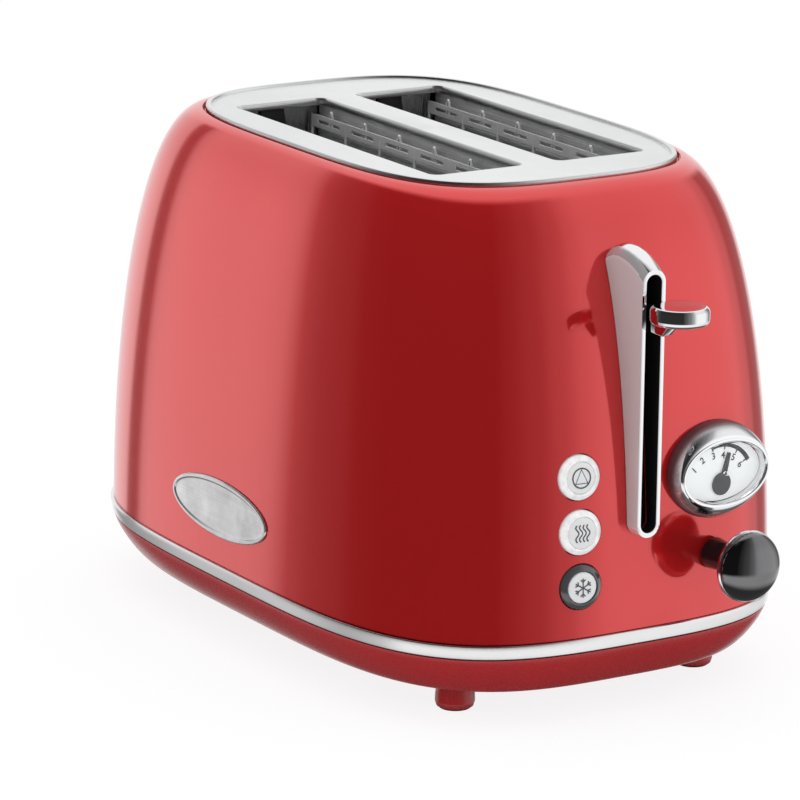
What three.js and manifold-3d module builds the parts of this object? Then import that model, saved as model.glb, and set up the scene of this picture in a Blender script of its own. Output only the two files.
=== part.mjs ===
// A two-slice toaster with a bulged painted shell, a lever in a bright guide, an oval gauge and a round knob.
// Millimetres, +Z up. The controls face -Y, the long sides face -X and +X, and it stands on z = 0.
// Each piece is a named mesh. The origin is the middle of the footprint of the whole toaster.

import * as THREE from "three";
import { mergeVertices } from "three/addons/utils/BufferGeometryUtils.js";
import Module from "manifold-3d";

const wasm = await Module();
wasm.setup();

// Overall sizes
const toasterHeight = 180;
const bandWidth = 174;
const bandLength = 267;
const seatGap = 0.3;
const cutOverrun = 2;

// Plan outline |x / a| ^ sidePower + |y / b| ^ endPower = 1
const sidePower = 3.25;
const endPower = 3.8;
const ringSides = 64;
const roundSides = 24;
const smallSides = 12;

// Painted shell
const shellWall = 1.2;
const bandStep = 1;
const drawStart = 22;
const shoulderPower = 2.15;
const shoulderSteps = 11;
const innerSteps = 6;
const crownDrop = 1.4;
const crownGap = 1;
const lipDepth = 2.2;
const flangeWidth = 5;
const surfaceProbe = 0.01;

// Top plate and bread slots
const plateWidth = 120.2;
const plateLength = 189.2;
const plateSheet = 1;
const rimHeight = 0.8;
const rimWidth = 1.9;
const slotWidth = 36.4;
const slotMargin = 5.5;
const slotSpacing = 50;
const slotCorner = 3;
const collarWall = 0.8;
const collarDepth = 7;

// Band, base bowl and feet
const bandLow = 25.1;
const bandHigh = 30.1;
const bandDepth = 5;
const bandRound = 0.8;
const baseBottom = 10.6;
const baseWidth = 153.4;
const baseLength = 246.4;
const basePower = 1.28;
const baseSteps = 6;
const baseWall = 2;
const footSpacingX = 98.6;
const footSpacingY = 190.6;
const footRadius = 7;
const footWaist = 6.4;
const padRadius = 5.6;
const padDepth = 1.2;
const padProud = 0.8;
const ventCount = 7;
const ventWidth = 3;
const ventLength = 26;
const ventPitch = 9;

// Steel chassis
const sheet = 0.8;
const chamberLength = 146;
const endPlateWidth = 104;
const endPlateTopWidth = 86;
const endPlateLow = 22;
const endPlateShoulderDrop = 18.2;
const endPlateNeckDrop = 7.2;
const lifterSlotWidth = 7;
const lifterSlotLow = 32;
const lifterSlotMargin = 30;
const rearSlotTopWidth = 15;
const rearSlotDrop = 10.2;
const screwTabWidth = 12;
const screwTabLength = 12;
const shieldSpacing = 98.8;
const shieldLow = 30;
const shieldDrop = 20.2;
const shieldFlange = 6;

// Heaters and bread guards
const heaterSpacing = 92;
const heaterBoard = 1;
const heaterLow = 38;
const heaterDrop = 22.2;
const windingCount = 9;
const windingWidth = 3;
const windingDepth = 0.6;
const guardFootOffset = 11.5;
const guardTopOffset = 16.2;
const guardLow = 36;
const guardDrop = 11.2;
const guardWire = 1.6;
const guardUprights = 7;
const guardRails = 3;
const guardEndGap = 1.6;
const guardPin = 1.6;
const guardPinProud = 1;

// Lever, guide and carriage
const leverStopGap = 2.3;
const guideWidth = 9.2;
const guideLow = 63.4;
const guideDrop = 24.3;
const guideReach = 3.5;
const guideSlotWidth = 6.2;
const guideRim = 1.6;
// Distance behind the guide's face, growth on each side and rise of the ridge
const guideSections = [[0, 0, 0], [7, 0.4, 4.2], [14, 0.8, 6.3], [22.5, 1.2, 3.3], [34, 1.9, -3]];
const linerWall = 1.1;
const linerDepth = 109;
const linerClearance = 0.5;
const handleRadius = 10;
const handleThickness = 5.9;
const handleRound = 1.6;
const handleDrop = 9;
const handleGap = 5.2;
const neckWidth = 4.2;
const neckDrop = 6;
const neckSlant = [1.2, 7.2];
const neckHeight = 8.6;
const neckLength = 22;
const armWidth = 2.4;
const armHeight = 5;
const railStandoff = 6.2;
const railRadius = 2.5;
const railClearance = 0.3;
const railDrop = 8.2;
const sleeveWall = 1.8;
const sleeveLength = 28;
const bracketWidth = 58;
const bracketSheet = 1.2;
const tabSheet = 1.2;
const tabDrop = 9.2;
const tabWidth = 30;
const tabLength = 13;
const lifterDrop = 68;
const lifterHeight = 8;
const lifterWidth = 2.4;
const lifterTabWidth = 14;
const lifterTabLength = 6;
const lifterTabCount = 6;
const lifterTail = 3.6;
const springX = 9;
const springRadius = 3;
const springWall = 0.9;
const earWidth = 7.5;
const keeperX = 21;
const keeperWidth = 14;
const keeperLengthShare = 0.45;
const keeperSheet = 2;
const magnetTop = 44;
const magnetHeight = 14;
const magnetWidth = 16;
const magnetCore = 5;

// Control board
const boardY = -111.6;
const boardSheet = 1.6;
const boardWidth = 92;
const boardLow = 30;
const boardHigh = 98;
const boardNotch = 14;
const boardNotchLow = 58;
const postWidth = 8;
const postX = 40;
const postHeight = 34;
const switchSize = 6;
const switchDepth = 4.2;
const switchStem = 1.6;

// Push buttons
const buttonX = -23.2;
const buttonNames = ["stop", "reheat", "defrost"];
const buttonTop = 85.7;
const buttonPitch = 18.75;
const buttonRadius = 7.75;
const buttonGap = 0.4;
const buttonRing = 2;
const buttonProud = 1;
const buttonCapProud = 0.3;
const buttonDepth = 4;
const buttonTravel = 2;
const buttonStem = 2.2;

// Oval gauge
const gaugeX = 32.3;
const gaugeZ = 81.1;
const gaugeYaw = 4.5;
const gaugeDepth = 7;
const gaugeFoot = [20.6, 16.9];
const gaugeEdge = [18.8, 12];
const gaugeBulgeShares = [[0.36, 0.14], [0.7, 0.5], [0.91, 0.85]];
const gaugeLip = 1.4;
const gaugeRoot = 8;
const dialBack = 2.4;
const dialSheet = 0.8;
const lensBack = 5.2;
const lensEdge = 1;
const lensDome = 1.1;
const hubX = 0.15;
const hubY = -4.4;
const hubRadius = 3.95;
const needleLength = 11;
const needleWidth = 2.75;
const needleTip = 1.55;
const needleSheet = 0.7;
const needleAngle = 16;
const needleShaft = 1;
const movementRadius = 8;
const movementHole = 9;

// Browning knob
const knobX = 31;
const knobZ = 52.4;
const knobYaw = 2;
const knobRadius = 12.4;
const knobReach = 27.6;
const knobDomeHeight = 7.2;
const knobRimHeight = 2.7;
const knobRimWall = 2.2;
const knobNeckRadius = 5.3;
const knobNeckWaist = 4.7;
const knobNeckStart = 1.1;
const knobShaftRadius = 3;
const knobShaftDepth = 15;
const potRadius = 8;
const potFront = 7;
const potBush = 4.6;
const potBushFront = 3;

// Badge, crumb tray, screws and cord gland
const badgeY = 3.2;
const badgeZ = 50.8;
const badgeLength = 66;
const badgeHeight = 20.6;
const badgeSheet = 0.6;
const trayWidth = 88;
const trayFront = -68;
const trayWallHeight = 6.4;
const trayLip = 2.6;
const trayOpeningHigh = 21.4;
const trayGrip = 34;
const screwX = 50;
const screwStandoff = 6.2;
const screwHead = 3.4;
const screwHeadHeight = 2.4;
const screwShank = 1.6;
const screwTop = 25;
const bossWall = 2.6;
const bossTop = 21.7;
const railBossTop = 20;
const glandX = -45;
const glandZ = 42;
const glandRadius = 4.8;
const glandFlange = 6.8;
const glandCollar = 3;
const glandTip = 4.2;
const glandProud = 9.12;
const glandBore = 3.3;
const glandDepth = 6;

// Worked out from the sizes above
const bandHalf = [bandWidth / 2, bandLength / 2];
const shellHalf = bandHalf.map((half) => half - bandStep);
const plateHalf = [plateWidth / 2, plateLength / 2];
const baseHalf = [baseWidth / 2, baseLength / 2];
const crown = toasterHeight - crownDrop;
const shellFoot = bandHigh + seatGap;
const flangeTop = crown - lipDepth;
const plateTop = toasterHeight - rimHeight;
const plateUnder = plateTop - plateSheet;
const skirtLow = flangeTop + seatGap;
const floorTop = baseBottom + baseWall;
const slotCentres = [-slotSpacing / 2, slotSpacing / 2];
const endPlateInner = chamberLength / 2;
const endPlateOuter = endPlateInner + sheet;
const railY = -endPlateOuter - railStandoff;
const screwY = endPlateOuter + screwStandoff;
const slotLength = chamberLength - 2 * slotMargin;
const endPlateShoulder = plateUnder - endPlateShoulderDrop;
const endPlateNeck = plateUnder - endPlateNeckDrop;
const rearSlotTop = plateUnder - rearSlotDrop;
const shieldHigh = plateUnder - shieldDrop;
const heaterHigh = plateUnder - heaterDrop;
const guardHigh = plateUnder - guardDrop;
const railTop = plateUnder - railDrop;
const tabTop = plateUnder - tabDrop;
const guideHigh = toasterHeight - guideDrop;
const handleTop = guideHigh - handleDrop;
const lifterTop = toasterHeight - lifterDrop;
const lifterSlotHigh = lifterTop + lifterSlotMargin;
const sleeveLow = lifterTop - lifterHeight;
const sleeveHigh = sleeveLow + sleeveLength;
const guideFace = -bandHalf[1] - guideReach;
const handleY = guideFace - handleGap - handleRadius;
const neckTop = handleTop - handleThickness / 2;
const neckLow = handleTop - handleThickness - neckDrop;
const armCentre = (neckTop + neckLow) / 2 + neckHeight / 8;
const leverTravel = neckLow - guideLow - guideRim - leverStopGap;
const buttonHeights = buttonNames.map((_, i) => buttonTop - i * buttonPitch);

const paint = (color, roughness, metalness = 0) =>
  new THREE.MeshStandardMaterial({ color, roughness, metalness });
const finish = {
  redPaint: paint(0xbe2228, 0.15),
  redPlastic: paint(0x9c2428, 0.3),
  satinSteel: paint(0xd4d6d8, 0.4, 1),
  brightBand: paint(0xdadcde, 0.25, 1),
  chrome: paint(0xeceeee, 0.08, 1),
  sheetSteel: paint(0x8d9092, 0.35, 1),
  mica: paint(0xb9a37c, 0.7),
  blackPlastic: paint(0x16171a, 0.45),
  blackGloss: paint(0x08090a, 0.08),
  rubber: paint(0x202124, 0.9),
  whitePlastic: paint(0xf0f1f1, 0.35),
  clearPlastic: paint(0xc9cfd2, 0.15),
  greyPlastic: paint(0x4a4d50, 0.3),
  darkInk: paint(0x55575a, 0.5),
  glass: paint(0xe8eef0, 0.05),
  board: paint(0x2d6b3c, 0.6),
};

const { PI, sign, abs, sin, cos, min, max } = Math;
const radians = (degrees) => (degrees * PI) / 180;
const mix = (from, to, share) => from + (to - from) * share;
const clamp = (value) => min(1, max(0, value));

/** A solid from a closed three.js geometry. */
function solid(geometry) {
  const bare = new THREE.BufferGeometry();
  const loose = geometry.index ? geometry.toNonIndexed() : geometry;
  bare.setAttribute("position", loose.getAttribute("position"));
  const merged = mergeVertices(bare, surfaceProbe / 10);
  const vertProperties = merged.getAttribute("position").array;
  const triVerts = new Uint32Array(merged.index.array);
  return new wasm.Manifold(new wasm.Mesh({ numProp: 3, vertProperties, triVerts }));
}

/** A named mesh from a solid. */
function piece(name, made, material) {
  const mesh = made.getMesh();
  const geometry = new THREE.BufferGeometry();
  const places = [];
  for (let i = 0; i < mesh.numVert; i++) {
    places.push(...mesh.vertProperties.subarray(i * mesh.numProp, i * mesh.numProp + 3));
  }
  geometry.setAttribute("position", new THREE.Float32BufferAttribute(places, 3));
  geometry.setIndex(Array.from(mesh.triVerts));
  geometry.computeVertexNormals();
  const named = new THREE.Mesh(geometry, material);
  named.name = name;
  return named;
}

/** A solid moved by a matrix. */
const placed = (made, matrix) => made.transform(matrix.elements);

/** A block between two corners. */
function block([x0, x1], [y0, y1], [z0, z1]) {
  const box = new THREE.BoxGeometry(x1 - x0, y1 - y0, z1 - z0);
  box.translate((x0 + x1) / 2, (y0 + y1) / 2, (z0 + z1) / 2);
  return solid(box);
}

/** A span of a width about a centre. */
const about = (centre, width) => [centre - width / 2, centre + width / 2];

/** A solid of revolution about +Z from [radius, height] points, low to high along the outside. */
function turned(profile, sides = roundSides) {
  const points = profile.map(([radius, height]) => new THREE.Vector2(radius, height));
  const lathe = new THREE.LatheGeometry(points, sides);
  lathe.rotateX(PI / 2);
  return solid(lathe);
}

/** A round bar along +Z. */
const bar = (radius, low, high, sides = roundSides) =>
  turned([[0, low], [radius, low], [radius, high], [0, high]], sides);

/** A round tube along +Z. */
const tube = (inner, outer, low, high, sides = roundSides) =>
  bar(outer, low, high, sides).subtract(bar(inner, low - cutOverrun, high + cutOverrun, sides));

/** A flat outline of [x, y] points raised along +Z. */
function raised(points, low, high) {
  const shape = new THREE.Shape(points.map(([x, y]) => new THREE.Vector2(x, y)));
  const geometry = new THREE.ExtrudeGeometry(shape, { depth: high - low, bevelEnabled: false });
  geometry.translate(0, 0, low);
  return solid(geometry);
}

/** The same outline standing up: [x, z] points, running along +Y from near to far. */
function upright(points, near, far) {
  const turn = new THREE.Matrix4().makeRotationX(PI / 2);
  return placed(raised(points, -far, -near), turn);
}

/** A closed solid over equal rings of points: capped at both ends, or joined end to end. */
function loft(rings, looped = false) {
  const count = rings[0].length;
  const points = rings.flat();
  const faces = [];
  const spans = looped ? rings.length : rings.length - 1;
  for (let r = 0; r < spans; r++) {
    const low = r * count;
    const high = ((r + 1) % rings.length) * count;
    for (let i = 0; i < count; i++) {
      const j = (i + 1) % count;
      faces.push(low + i, low + j, high + j, low + i, high + j, high + i);
    }
  }
  const cap = (start, facing) => {
    const middle = new THREE.Vector3();
    for (let i = 0; i < count; i++) middle.addScaledVector(points[start + i], 1 / count);
    const centre = points.push(middle) - 1;
    for (let i = 0; i < count; i++) {
      const [a, b] = [start + i, start + ((i + 1) % count)];
      faces.push(...(facing ? [a, b, centre] : [b, a, centre]));
    }
  };
  if (!looped) {
    const last = (rings.length - 1) * count;
    cap(0, false);
    cap(last, true);
  }
  const geometry = new THREE.BufferGeometry().setFromPoints(points);
  geometry.setIndex(faces);
  return solid(geometry);
}

/** A level ring of the rounded plan outline, anticlockwise. */
function planRing([halfWidth, halfLength], z) {
  return Array.from({ length: ringSides }, (_, i) => {
    const angle = (2 * PI * i) / ringSides;
    const across = sign(cos(angle)) * abs(cos(angle)) ** (2 / sidePower);
    const along = sign(sin(angle)) * abs(sin(angle)) ** (2 / endPower);
    return new THREE.Vector3(halfWidth * across, halfLength * along, z);
  });
}

/** A level ellipse ring. */
function ovalRing([halfWidth, halfHeight], z, sides = ringSides / 2) {
  return Array.from({ length: sides }, (_, i) => {
    const angle = (2 * PI * i) / sides;
    return new THREE.Vector3(halfWidth * cos(angle), halfHeight * sin(angle), z);
  });
}

/** Half sizes grown by one distance. */
const grown = (half, by) => half.map((value) => value + by);

/** Share of the way in to the plate that the shell has drawn at a share of its height. */
const drawnIn = (rise, power) => 1 - (1 - clamp(rise) ** power) ** (1 / power);

/** Half sizes of the shell's outside at a height. */
function shellAt(z) {
  const share = drawnIn((z - drawStart) / (crown - drawStart), shoulderPower);
  return shellHalf.map((half, i) => mix(half, plateHalf[i], share));
}

/** Rings up the shell from its foot to its mouth, grown by a distance; top is the height of its crown. */
function shellRings(steps, by, top, mouthShare) {
  const start = Math.asin(clamp((shellFoot - drawStart) / (top - drawStart)) ** (shoulderPower / 2));
  const end = Math.acos((1 - mouthShare) ** (shoulderPower / 2));
  return Array.from({ length: steps + 1 }, (_, i) => {
    const angle = mix(start, end, i / steps);
    const rise = sin(angle) ** (2 / shoulderPower);
    const share = 1 - cos(angle) ** (2 / shoulderPower);
    const half = shellHalf.map((value, k) => mix(value, plateHalf[k], share));
    return planRing(grown(half, by), mix(drawStart, top, rise));
  });
}

const mouthShare = 1 - crownGap / (shellHalf[0] - plateHalf[0]);

/** Everything inside the shell's outside, grown by a distance. */
const bodyVolume = (by) => loft(shellRings(shoulderSteps, by, crown + by, mouthShare));

/** Y of the shell's outside at the control end, or at the back for end = 1. */
function shellY(x, z, end = -1) {
  const [halfWidth, halfLength] = shellAt(z);
  return end * halfLength * (1 - abs(x / halfWidth) ** sidePower) ** (1 / endPower);
}

/** Frame on the shell's end: X across, Y up, Z out along the given yaw and pitch in degrees. */
function endFrame(x, z, yaw, pitch, end = -1) {
  const [turn, tilt] = [radians(yaw), radians(pitch)];
  const out = new THREE.Vector3(sin(turn) * cos(tilt), end * cos(turn) * cos(tilt), sin(tilt));
  const across = new THREE.Vector3(-end * cos(turn), sin(turn), 0);
  const up = new THREE.Vector3().crossVectors(out, across);
  const matrix = new THREE.Matrix4().makeBasis(across, up, out);
  return matrix.setPosition(x, shellY(x, z, end), z);
}

/** Yaw and pitch in degrees of the shell's own normal at the control end. */
function endNormal(x, z) {
  const slopeX = (shellY(x + surfaceProbe, z) - shellY(x - surfaceProbe, z)) / (2 * surfaceProbe);
  const slopeZ = (shellY(x, z + surfaceProbe) - shellY(x, z - surfaceProbe)) / (2 * surfaceProbe);
  const length = Math.hypot(slopeX, 1, slopeZ);
  return [Math.atan(slopeX) * (180 / PI), Math.asin(slopeZ / length) * (180 / PI)];
}

const buttonFrames = buttonHeights.map((z) => endFrame(buttonX, z, ...endNormal(buttonX, z)));
const gaugeFrame = endFrame(gaugeX, gaugeZ, gaugeYaw, 0);
const knobFrame = endFrame(knobX, knobZ, knobYaw, 0);
const glandFrame = endFrame(glandX, glandZ, ...endNormal(glandX, glandZ), 1);

/** An upright slot outline with round ends, as a ring at one Y. */
function stadiumRing(width, low, high, y) {
  const radius = width / 2;
  const half = roundSides / 2;
  const ends = [[high - radius, 0], [low + radius, PI]];
  return ends.flatMap(([centre, from]) =>
    Array.from({ length: half + 1 }, (_, i) => {
      const angle = from + (PI * i) / half;
      return new THREE.Vector3(radius * cos(angle), y, centre + radius * sin(angle));
    }),
  );
}

/** A slot-shaped bar along Y, its ring given at the far and the near end. */
const stadiumBar = (width, low, high, near, far) =>
  loft([stadiumRing(width, low, high, far), stadiumRing(width, low, high, near)]);

function bodyShell() {
  const outside = shellRings(shoulderSteps, 0, crown, mouthShare);
  const mouth = grown(plateHalf, crownGap - shellWall / 4);
  const flange = grown(plateHalf, -flangeWidth);
  const under = flangeTop - shellWall;
  const innerCrown = crown - shellWall;
  const innerShare = drawnIn((under - drawStart) / (innerCrown - drawStart), shoulderPower);
  const inside = shellRings(innerSteps, -shellWall, innerCrown, innerShare).reverse();
  const section = [
    ...outside,
    planRing(mouth, flangeTop),
    planRing(flange, flangeTop),
    planRing(flange, under),
    ...inside,
  ];
  let shell = loft(section, true);
  const slotRoom = guideSlotWidth / 2 + linerClearance;
  const slot = stadiumBar(2 * slotRoom, guideLow + guideRim - linerClearance,
    guideHigh - guideRim + linerClearance, guideFace - cutOverrun, -linerDepth);
  shell = shell.subtract(slot);
  const through = shellWall * cutOverrun;
  for (const frame of buttonFrames) {
    shell = shell.subtract(placed(bar(buttonRadius + buttonGap, -2 * through, through), frame));
  }
  const hub = new THREE.Matrix4().makeTranslation(hubX, hubY, 0);
  const gaugeHole = placed(bar(movementHole, -gaugeRoot, gaugeRoot), hub);
  shell = shell.subtract(placed(gaugeHole, gaugeFrame));
  const shaftHole = knobShaftRadius + railClearance + seatGap;
  shell = shell.subtract(placed(bar(shaftHole, -gaugeRoot, gaugeRoot), knobFrame));
  shell = shell.subtract(placed(bar(glandRadius + seatGap, -gaugeRoot, gaugeRoot), glandFrame));
  return piece("body_shell", shell, finish.redPaint);
}

/** A rectangle with round corners as [x, y] points. */
function roundedRectangle(width, length, radius, centreX = 0) {
  const corners = [[1, 1], [-1, 1], [-1, -1], [1, -1]];
  const steps = smallSides / 4;
  return corners.flatMap(([sx, sy], k) =>
    Array.from({ length: steps + 1 }, (_, i) => {
      const angle = (PI / 2) * (k + i / steps);
      const x = centreX + sx * (width / 2 - radius) + radius * cos(angle);
      return [x, sy * (length / 2 - radius) + radius * sin(angle)];
    }),
  );
}

function topPlate() {
  const step = rimWidth / 3;
  const rings = [
    planRing(grown(plateHalf, -plateSheet), plateUnder),
    planRing(grown(plateHalf, -plateSheet), skirtLow),
    planRing(plateHalf, skirtLow),
    planRing(plateHalf, plateTop),
    planRing(grown(plateHalf, -step / 2), toasterHeight - rimHeight / 4),
    planRing(grown(plateHalf, -step * 1.5), toasterHeight),
    planRing(grown(plateHalf, -step * 2.5), toasterHeight - rimHeight / 4),
    planRing(grown(plateHalf, -rimWidth), plateTop),
  ];
  let plate = loft(rings);
  for (const x of slotCentres) {
    const outer = [slotWidth + 2 * collarWall, slotLength + 2 * collarWall, slotCorner + collarWall];
    plate = plate.add(raised(roundedRectangle(...outer, x), plateTop - collarDepth, plateTop - plateSheet / 2));
  }
  for (const x of slotCentres) {
    const opening = roundedRectangle(slotWidth, slotLength, slotCorner, x);
    plate = plate.subtract(raised(opening, plateTop - collarDepth - cutOverrun, toasterHeight + cutOverrun));
  }
  return piece("top_plate", plate, finish.satinSteel);
}

function baseBand() {
  const rings = [
    planRing(grown(bandHalf, -bandRound), bandLow),
    planRing(bandHalf, bandLow + bandRound),
    planRing(bandHalf, bandHigh - bandRound),
    planRing(grown(bandHalf, -bandRound), bandHigh),
    planRing(grown(bandHalf, -bandDepth), bandHigh),
    planRing(grown(bandHalf, -bandDepth), bandLow),
  ];
  return piece("base_band", loft(rings, true), finish.brightBand);
}

/** Rings up the bowl of the base from its floor to its rim, grown by a distance. */
function baseRings(steps, by, floor) {
  const rim = bandLow - seatGap;
  return Array.from({ length: steps + 1 }, (_, i) => {
    const angle = (PI / 2) * (1 - i / steps);
    const drop = sin(angle) ** (2 / basePower);
    const share = 1 - cos(angle) ** (2 / basePower);
    const half = shellHalf.map((value, k) => mix(value, baseHalf[k], share));
    return planRing(grown(half, by), mix(rim, floor, drop));
  });
}

const baseBowl = () =>
  loft([...baseRings(baseSteps, 0, baseBottom), ...baseRings(baseSteps, -baseWall, floorTop).reverse()]);

/** Room for the crumb tray through the back of the base, drawn in all round by a clearance. */
const trayRoom = (clearance) =>
  block(about(0, trayWidth + 2 * (seatGap - clearance)), [endPlateOuter, bandHalf[1]],
    [floorTop + clearance, trayOpeningHigh - clearance]);

function basePan() {
  let pan = baseBowl();
  const corners = [[-1, -1], [1, -1], [1, 1], [-1, 1]];
  for (const [sx, sy] of corners) {
    const at = new THREE.Matrix4().makeTranslation(sx * screwX, sy * screwY, 0);
    pan = pan.add(placed(bar(screwShank + seatGap + bossWall, baseBottom + baseWall / 2, bossTop, smallSides), at));
  }
  const rail = new THREE.Matrix4().makeTranslation(0, railY, 0);
  const railBore = railRadius + railClearance;
  pan = pan.add(placed(bar(railBore + bossWall, baseBottom + baseWall / 2, railBossTop, smallSides), rail));
  for (const side of [-1, 1]) {
    const post = block(about(side * postX, postWidth), about(boardY + boardSheet / 2, postWidth),
      [baseBottom + baseWall / 2, postHeight]);
    pan = pan.add(post);
  }
  for (const [sx, sy] of corners) {
    const at = new THREE.Matrix4().makeTranslation(sx * screwX, sy * screwY, 0);
    const shank = bar(screwShank + seatGap, baseBottom - cutOverrun, bossTop + cutOverrun, smallSides);
    const head = bar(screwHead + seatGap, baseBottom - cutOverrun, baseBottom + screwHeadHeight + 2 * seatGap, smallSides);
    pan = pan.subtract(placed(shank.add(head), at));
  }
  pan = pan.subtract(placed(bar(railBore, floorTop, railBossTop + cutOverrun, smallSides), rail));
  const groove = block(about(0, boardWidth + 2 * seatGap), [boardY - seatGap, boardY + boardSheet + seatGap],
    [boardLow - seatGap, postHeight + cutOverrun]);
  pan = pan.subtract(groove).subtract(trayRoom(0));
  for (let i = 0; i < ventCount; i++) {
    const x = (i - (ventCount - 1) / 2) * ventPitch;
    for (const y of [-ventLength, ventLength]) {
      pan = pan.subtract(block(about(x, ventWidth), about(y, ventLength),
        [baseBottom - cutOverrun, floorTop + cutOverrun]));
    }
  }
  return piece("base_pan", pan, finish.redPlastic);
}

function feet() {
  const ends = [["front", -1], ["rear", 1]];
  const sides = [["left", -1], ["right", 1]];
  const top = baseBottom - seatGap;
  const skirt = padProud;
  const profile = [[0, skirt], [footWaist, skirt], [footRadius, skirt + footRadius - footWaist],
    [footRadius, (skirt + top) / 3], [footWaist, (skirt + top) / 2], [footWaist, top], [0, top]];
  const recess = padRadius + seatGap;
  return ends.flatMap(([end, sy]) =>
    sides.flatMap(([side, sx]) => {
      const at = new THREE.Matrix4().makeTranslation(sx * footSpacingX / 2, sy * footSpacingY / 2, 0);
      const foot = turned(profile).subtract(bar(recess, -cutOverrun, skirt + padDepth + seatGap));
      const pad = bar(padRadius, 0, skirt + padDepth);
      return [
        piece(`foot_${end}_${side}`, placed(foot, at), finish.redPlastic),
        piece(`foot_pad_${end}_${side}`, placed(pad, at), finish.rubber),
      ];
    }),
  );
}

/** Outline of a chassis end plate as [x, z] points. */
const endPlateOutline = () => {
  const [low, wide] = [endPlateLow, endPlateWidth / 2];
  const [narrow, top] = [endPlateTopWidth / 2, plateUnder - seatGap];
  return [[-wide, low], [wide, low], [wide, endPlateShoulder], [narrow, endPlateNeck], [narrow, top],
    [-narrow, top], [-narrow, endPlateNeck], [-wide, endPlateShoulder]];
};

/** A chassis end plate with its screw tabs and lifter slots; end is -1 at the controls and 1 at the back. */
function endPlate(end) {
  const span = [endPlateInner, endPlateOuter].map((y) => y * end).sort((a, b) => a - b);
  let plate = upright(endPlateOutline(), ...span);
  for (const side of [-1, 1]) {
    const tabSpan = [endPlateInner * end, (endPlateOuter + screwTabLength) * end].sort((a, b) => a - b);
    const tab = block(about(side * screwX, screwTabWidth), tabSpan, [endPlateLow, endPlateLow + sheet]);
    const at = new THREE.Matrix4().makeTranslation(side * screwX, end * screwY, 0);
    const hole = bar(screwShank + seatGap, endPlateLow - cutOverrun, endPlateLow + cutOverrun, smallSides);
    plate = plate.add(tab).subtract(placed(hole, at));
  }
  const cut = [span[0] - cutOverrun, span[1] + cutOverrun];
  for (const x of slotCentres) {
    for (const side of [-1, 1]) {
      const turn = new THREE.Matrix4().makeRotationX(PI / 2);
      const hole = placed(bar(guardPin / 2 + seatGap, -cut[1], -cut[0], smallSides), turn);
      const at = new THREE.Matrix4().makeTranslation(x + side * guardFootOffset, 0, guardLow);
      plate = plate.subtract(placed(hole, at));
    }
    const half = lifterSlotWidth / 2;
    const outline = end < 0
      ? [[x - half, lifterSlotLow], [x + half, lifterSlotLow], [x + half, lifterSlotHigh], [x - half, lifterSlotHigh]]
      : [[x - half, lifterSlotLow], [x + half, lifterSlotLow], [x + half, lifterSlotHigh],
        [x + rearSlotTopWidth / 2, rearSlotTop], [x - rearSlotTopWidth / 2, rearSlotTop], [x - half, lifterSlotHigh]];
    plate = plate.subtract(upright(outline, ...cut));
  }
  return plate;
}

function frontPlate() {
  const tab = block(about(0, tabWidth), [-endPlateOuter - tabLength, -endPlateInner], [tabTop - tabSheet, tabTop]);
  const rail = new THREE.Matrix4().makeTranslation(0, railY, 0);
  const hole = bar(railRadius + railClearance, tabTop - tabSheet - cutOverrun, tabTop + cutOverrun, smallSides);
  return piece("front_plate", endPlate(-1).add(tab).subtract(placed(hole, rail)), finish.sheetSteel);
}

const rearPlate = () => piece("rear_plate", endPlate(1), finish.sheetSteel);

function heatShields() {
  return [["left", -1], ["right", 1]].map(([name, side]) => {
    const length = chamberLength - 2 * seatGap;
    const inner = side * shieldSpacing / 2;
    const span = (from, to) => [from, to].sort((a, b) => a - b);
    const web = block(span(inner, inner + side * sheet), about(0, length), [shieldLow, shieldHigh]);
    const top = block(span(inner, inner - side * shieldFlange), about(0, length), [shieldHigh - sheet, shieldHigh]);
    return piece(`heat_shield_${name}`, web.add(top), finish.sheetSteel);
  });
}

/** A mica board with its windings on the faces that look at the bread. */
function heater(name, x, faces) {
  const length = chamberLength - 2 * seatGap;
  let board = block(about(x, heaterBoard), about(0, length), [heaterLow, heaterHigh]);
  const pitch = (heaterHigh - heaterLow) / windingCount;
  for (let i = 0; i < windingCount; i++) {
    const z = heaterLow + pitch * (i + 1 / 2);
    for (const face of faces) {
      const inner = x + face * heaterBoard / 4;
      const outer = x + face * (heaterBoard / 2 + windingDepth);
      const across = [inner, outer].sort((a, b) => a - b);
      board = board.add(block(across, about(0, slotLength), about(z, windingWidth)));
    }
  }
  return piece(name, board, finish.mica);
}

const heaters = () => [
  heater("heater_left", -heaterSpacing / 2, [1]),
  heater("heater_centre", 0, [-1, 1]),
  heater("heater_right", heaterSpacing / 2, [-1]),
];

const guardLean = Math.atan((guardTopOffset - guardFootOffset) / (guardHigh - guardLow));

/** The four bread guards: side is away from the slot's middle, and each leans out from its foot rod. */
function breadGuards() {
  const names = [["left", slotCentres[0]], ["right", slotCentres[1]]];
  return names.flatMap(([name, centre]) =>
    [["outer", sign(centre)], ["inner", -sign(centre)]].map(([place, side]) => {
      const height = (guardHigh - guardLow) / cos(guardLean);
      const half = endPlateInner - guardEndGap;
      const rod = endPlateOuter + guardPinProud;
      const turn = new THREE.Matrix4().makeRotationX(PI / 2);
      let guard = placed(bar(guardPin / 2, -rod, rod, smallSides), turn);
      for (let i = 1; i <= guardRails; i++) {
        const z = (height * i) / guardRails;
        guard = guard.add(block(about(0, guardWire), [-half, half], about(z - guardWire / 2, guardWire)));
      }
      const pitch = (2 * half - guardWire) / (guardUprights - 1);
      for (let i = 0; i < guardUprights; i++) {
        const y = -half + guardWire / 2 + i * pitch;
        guard = guard.add(block(about(0, guardWire / 2), about(y, guardWire), [0, height - guardWire / 2]));
      }
      const place4 = new THREE.Matrix4().makeRotationY(side * guardLean);
      place4.setPosition(centre + side * guardFootOffset, 0, guardLow);
      return piece(`bread_guard_${name}_${place}`, placed(guard, place4), finish.sheetSteel);
    }),
  );
}

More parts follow.
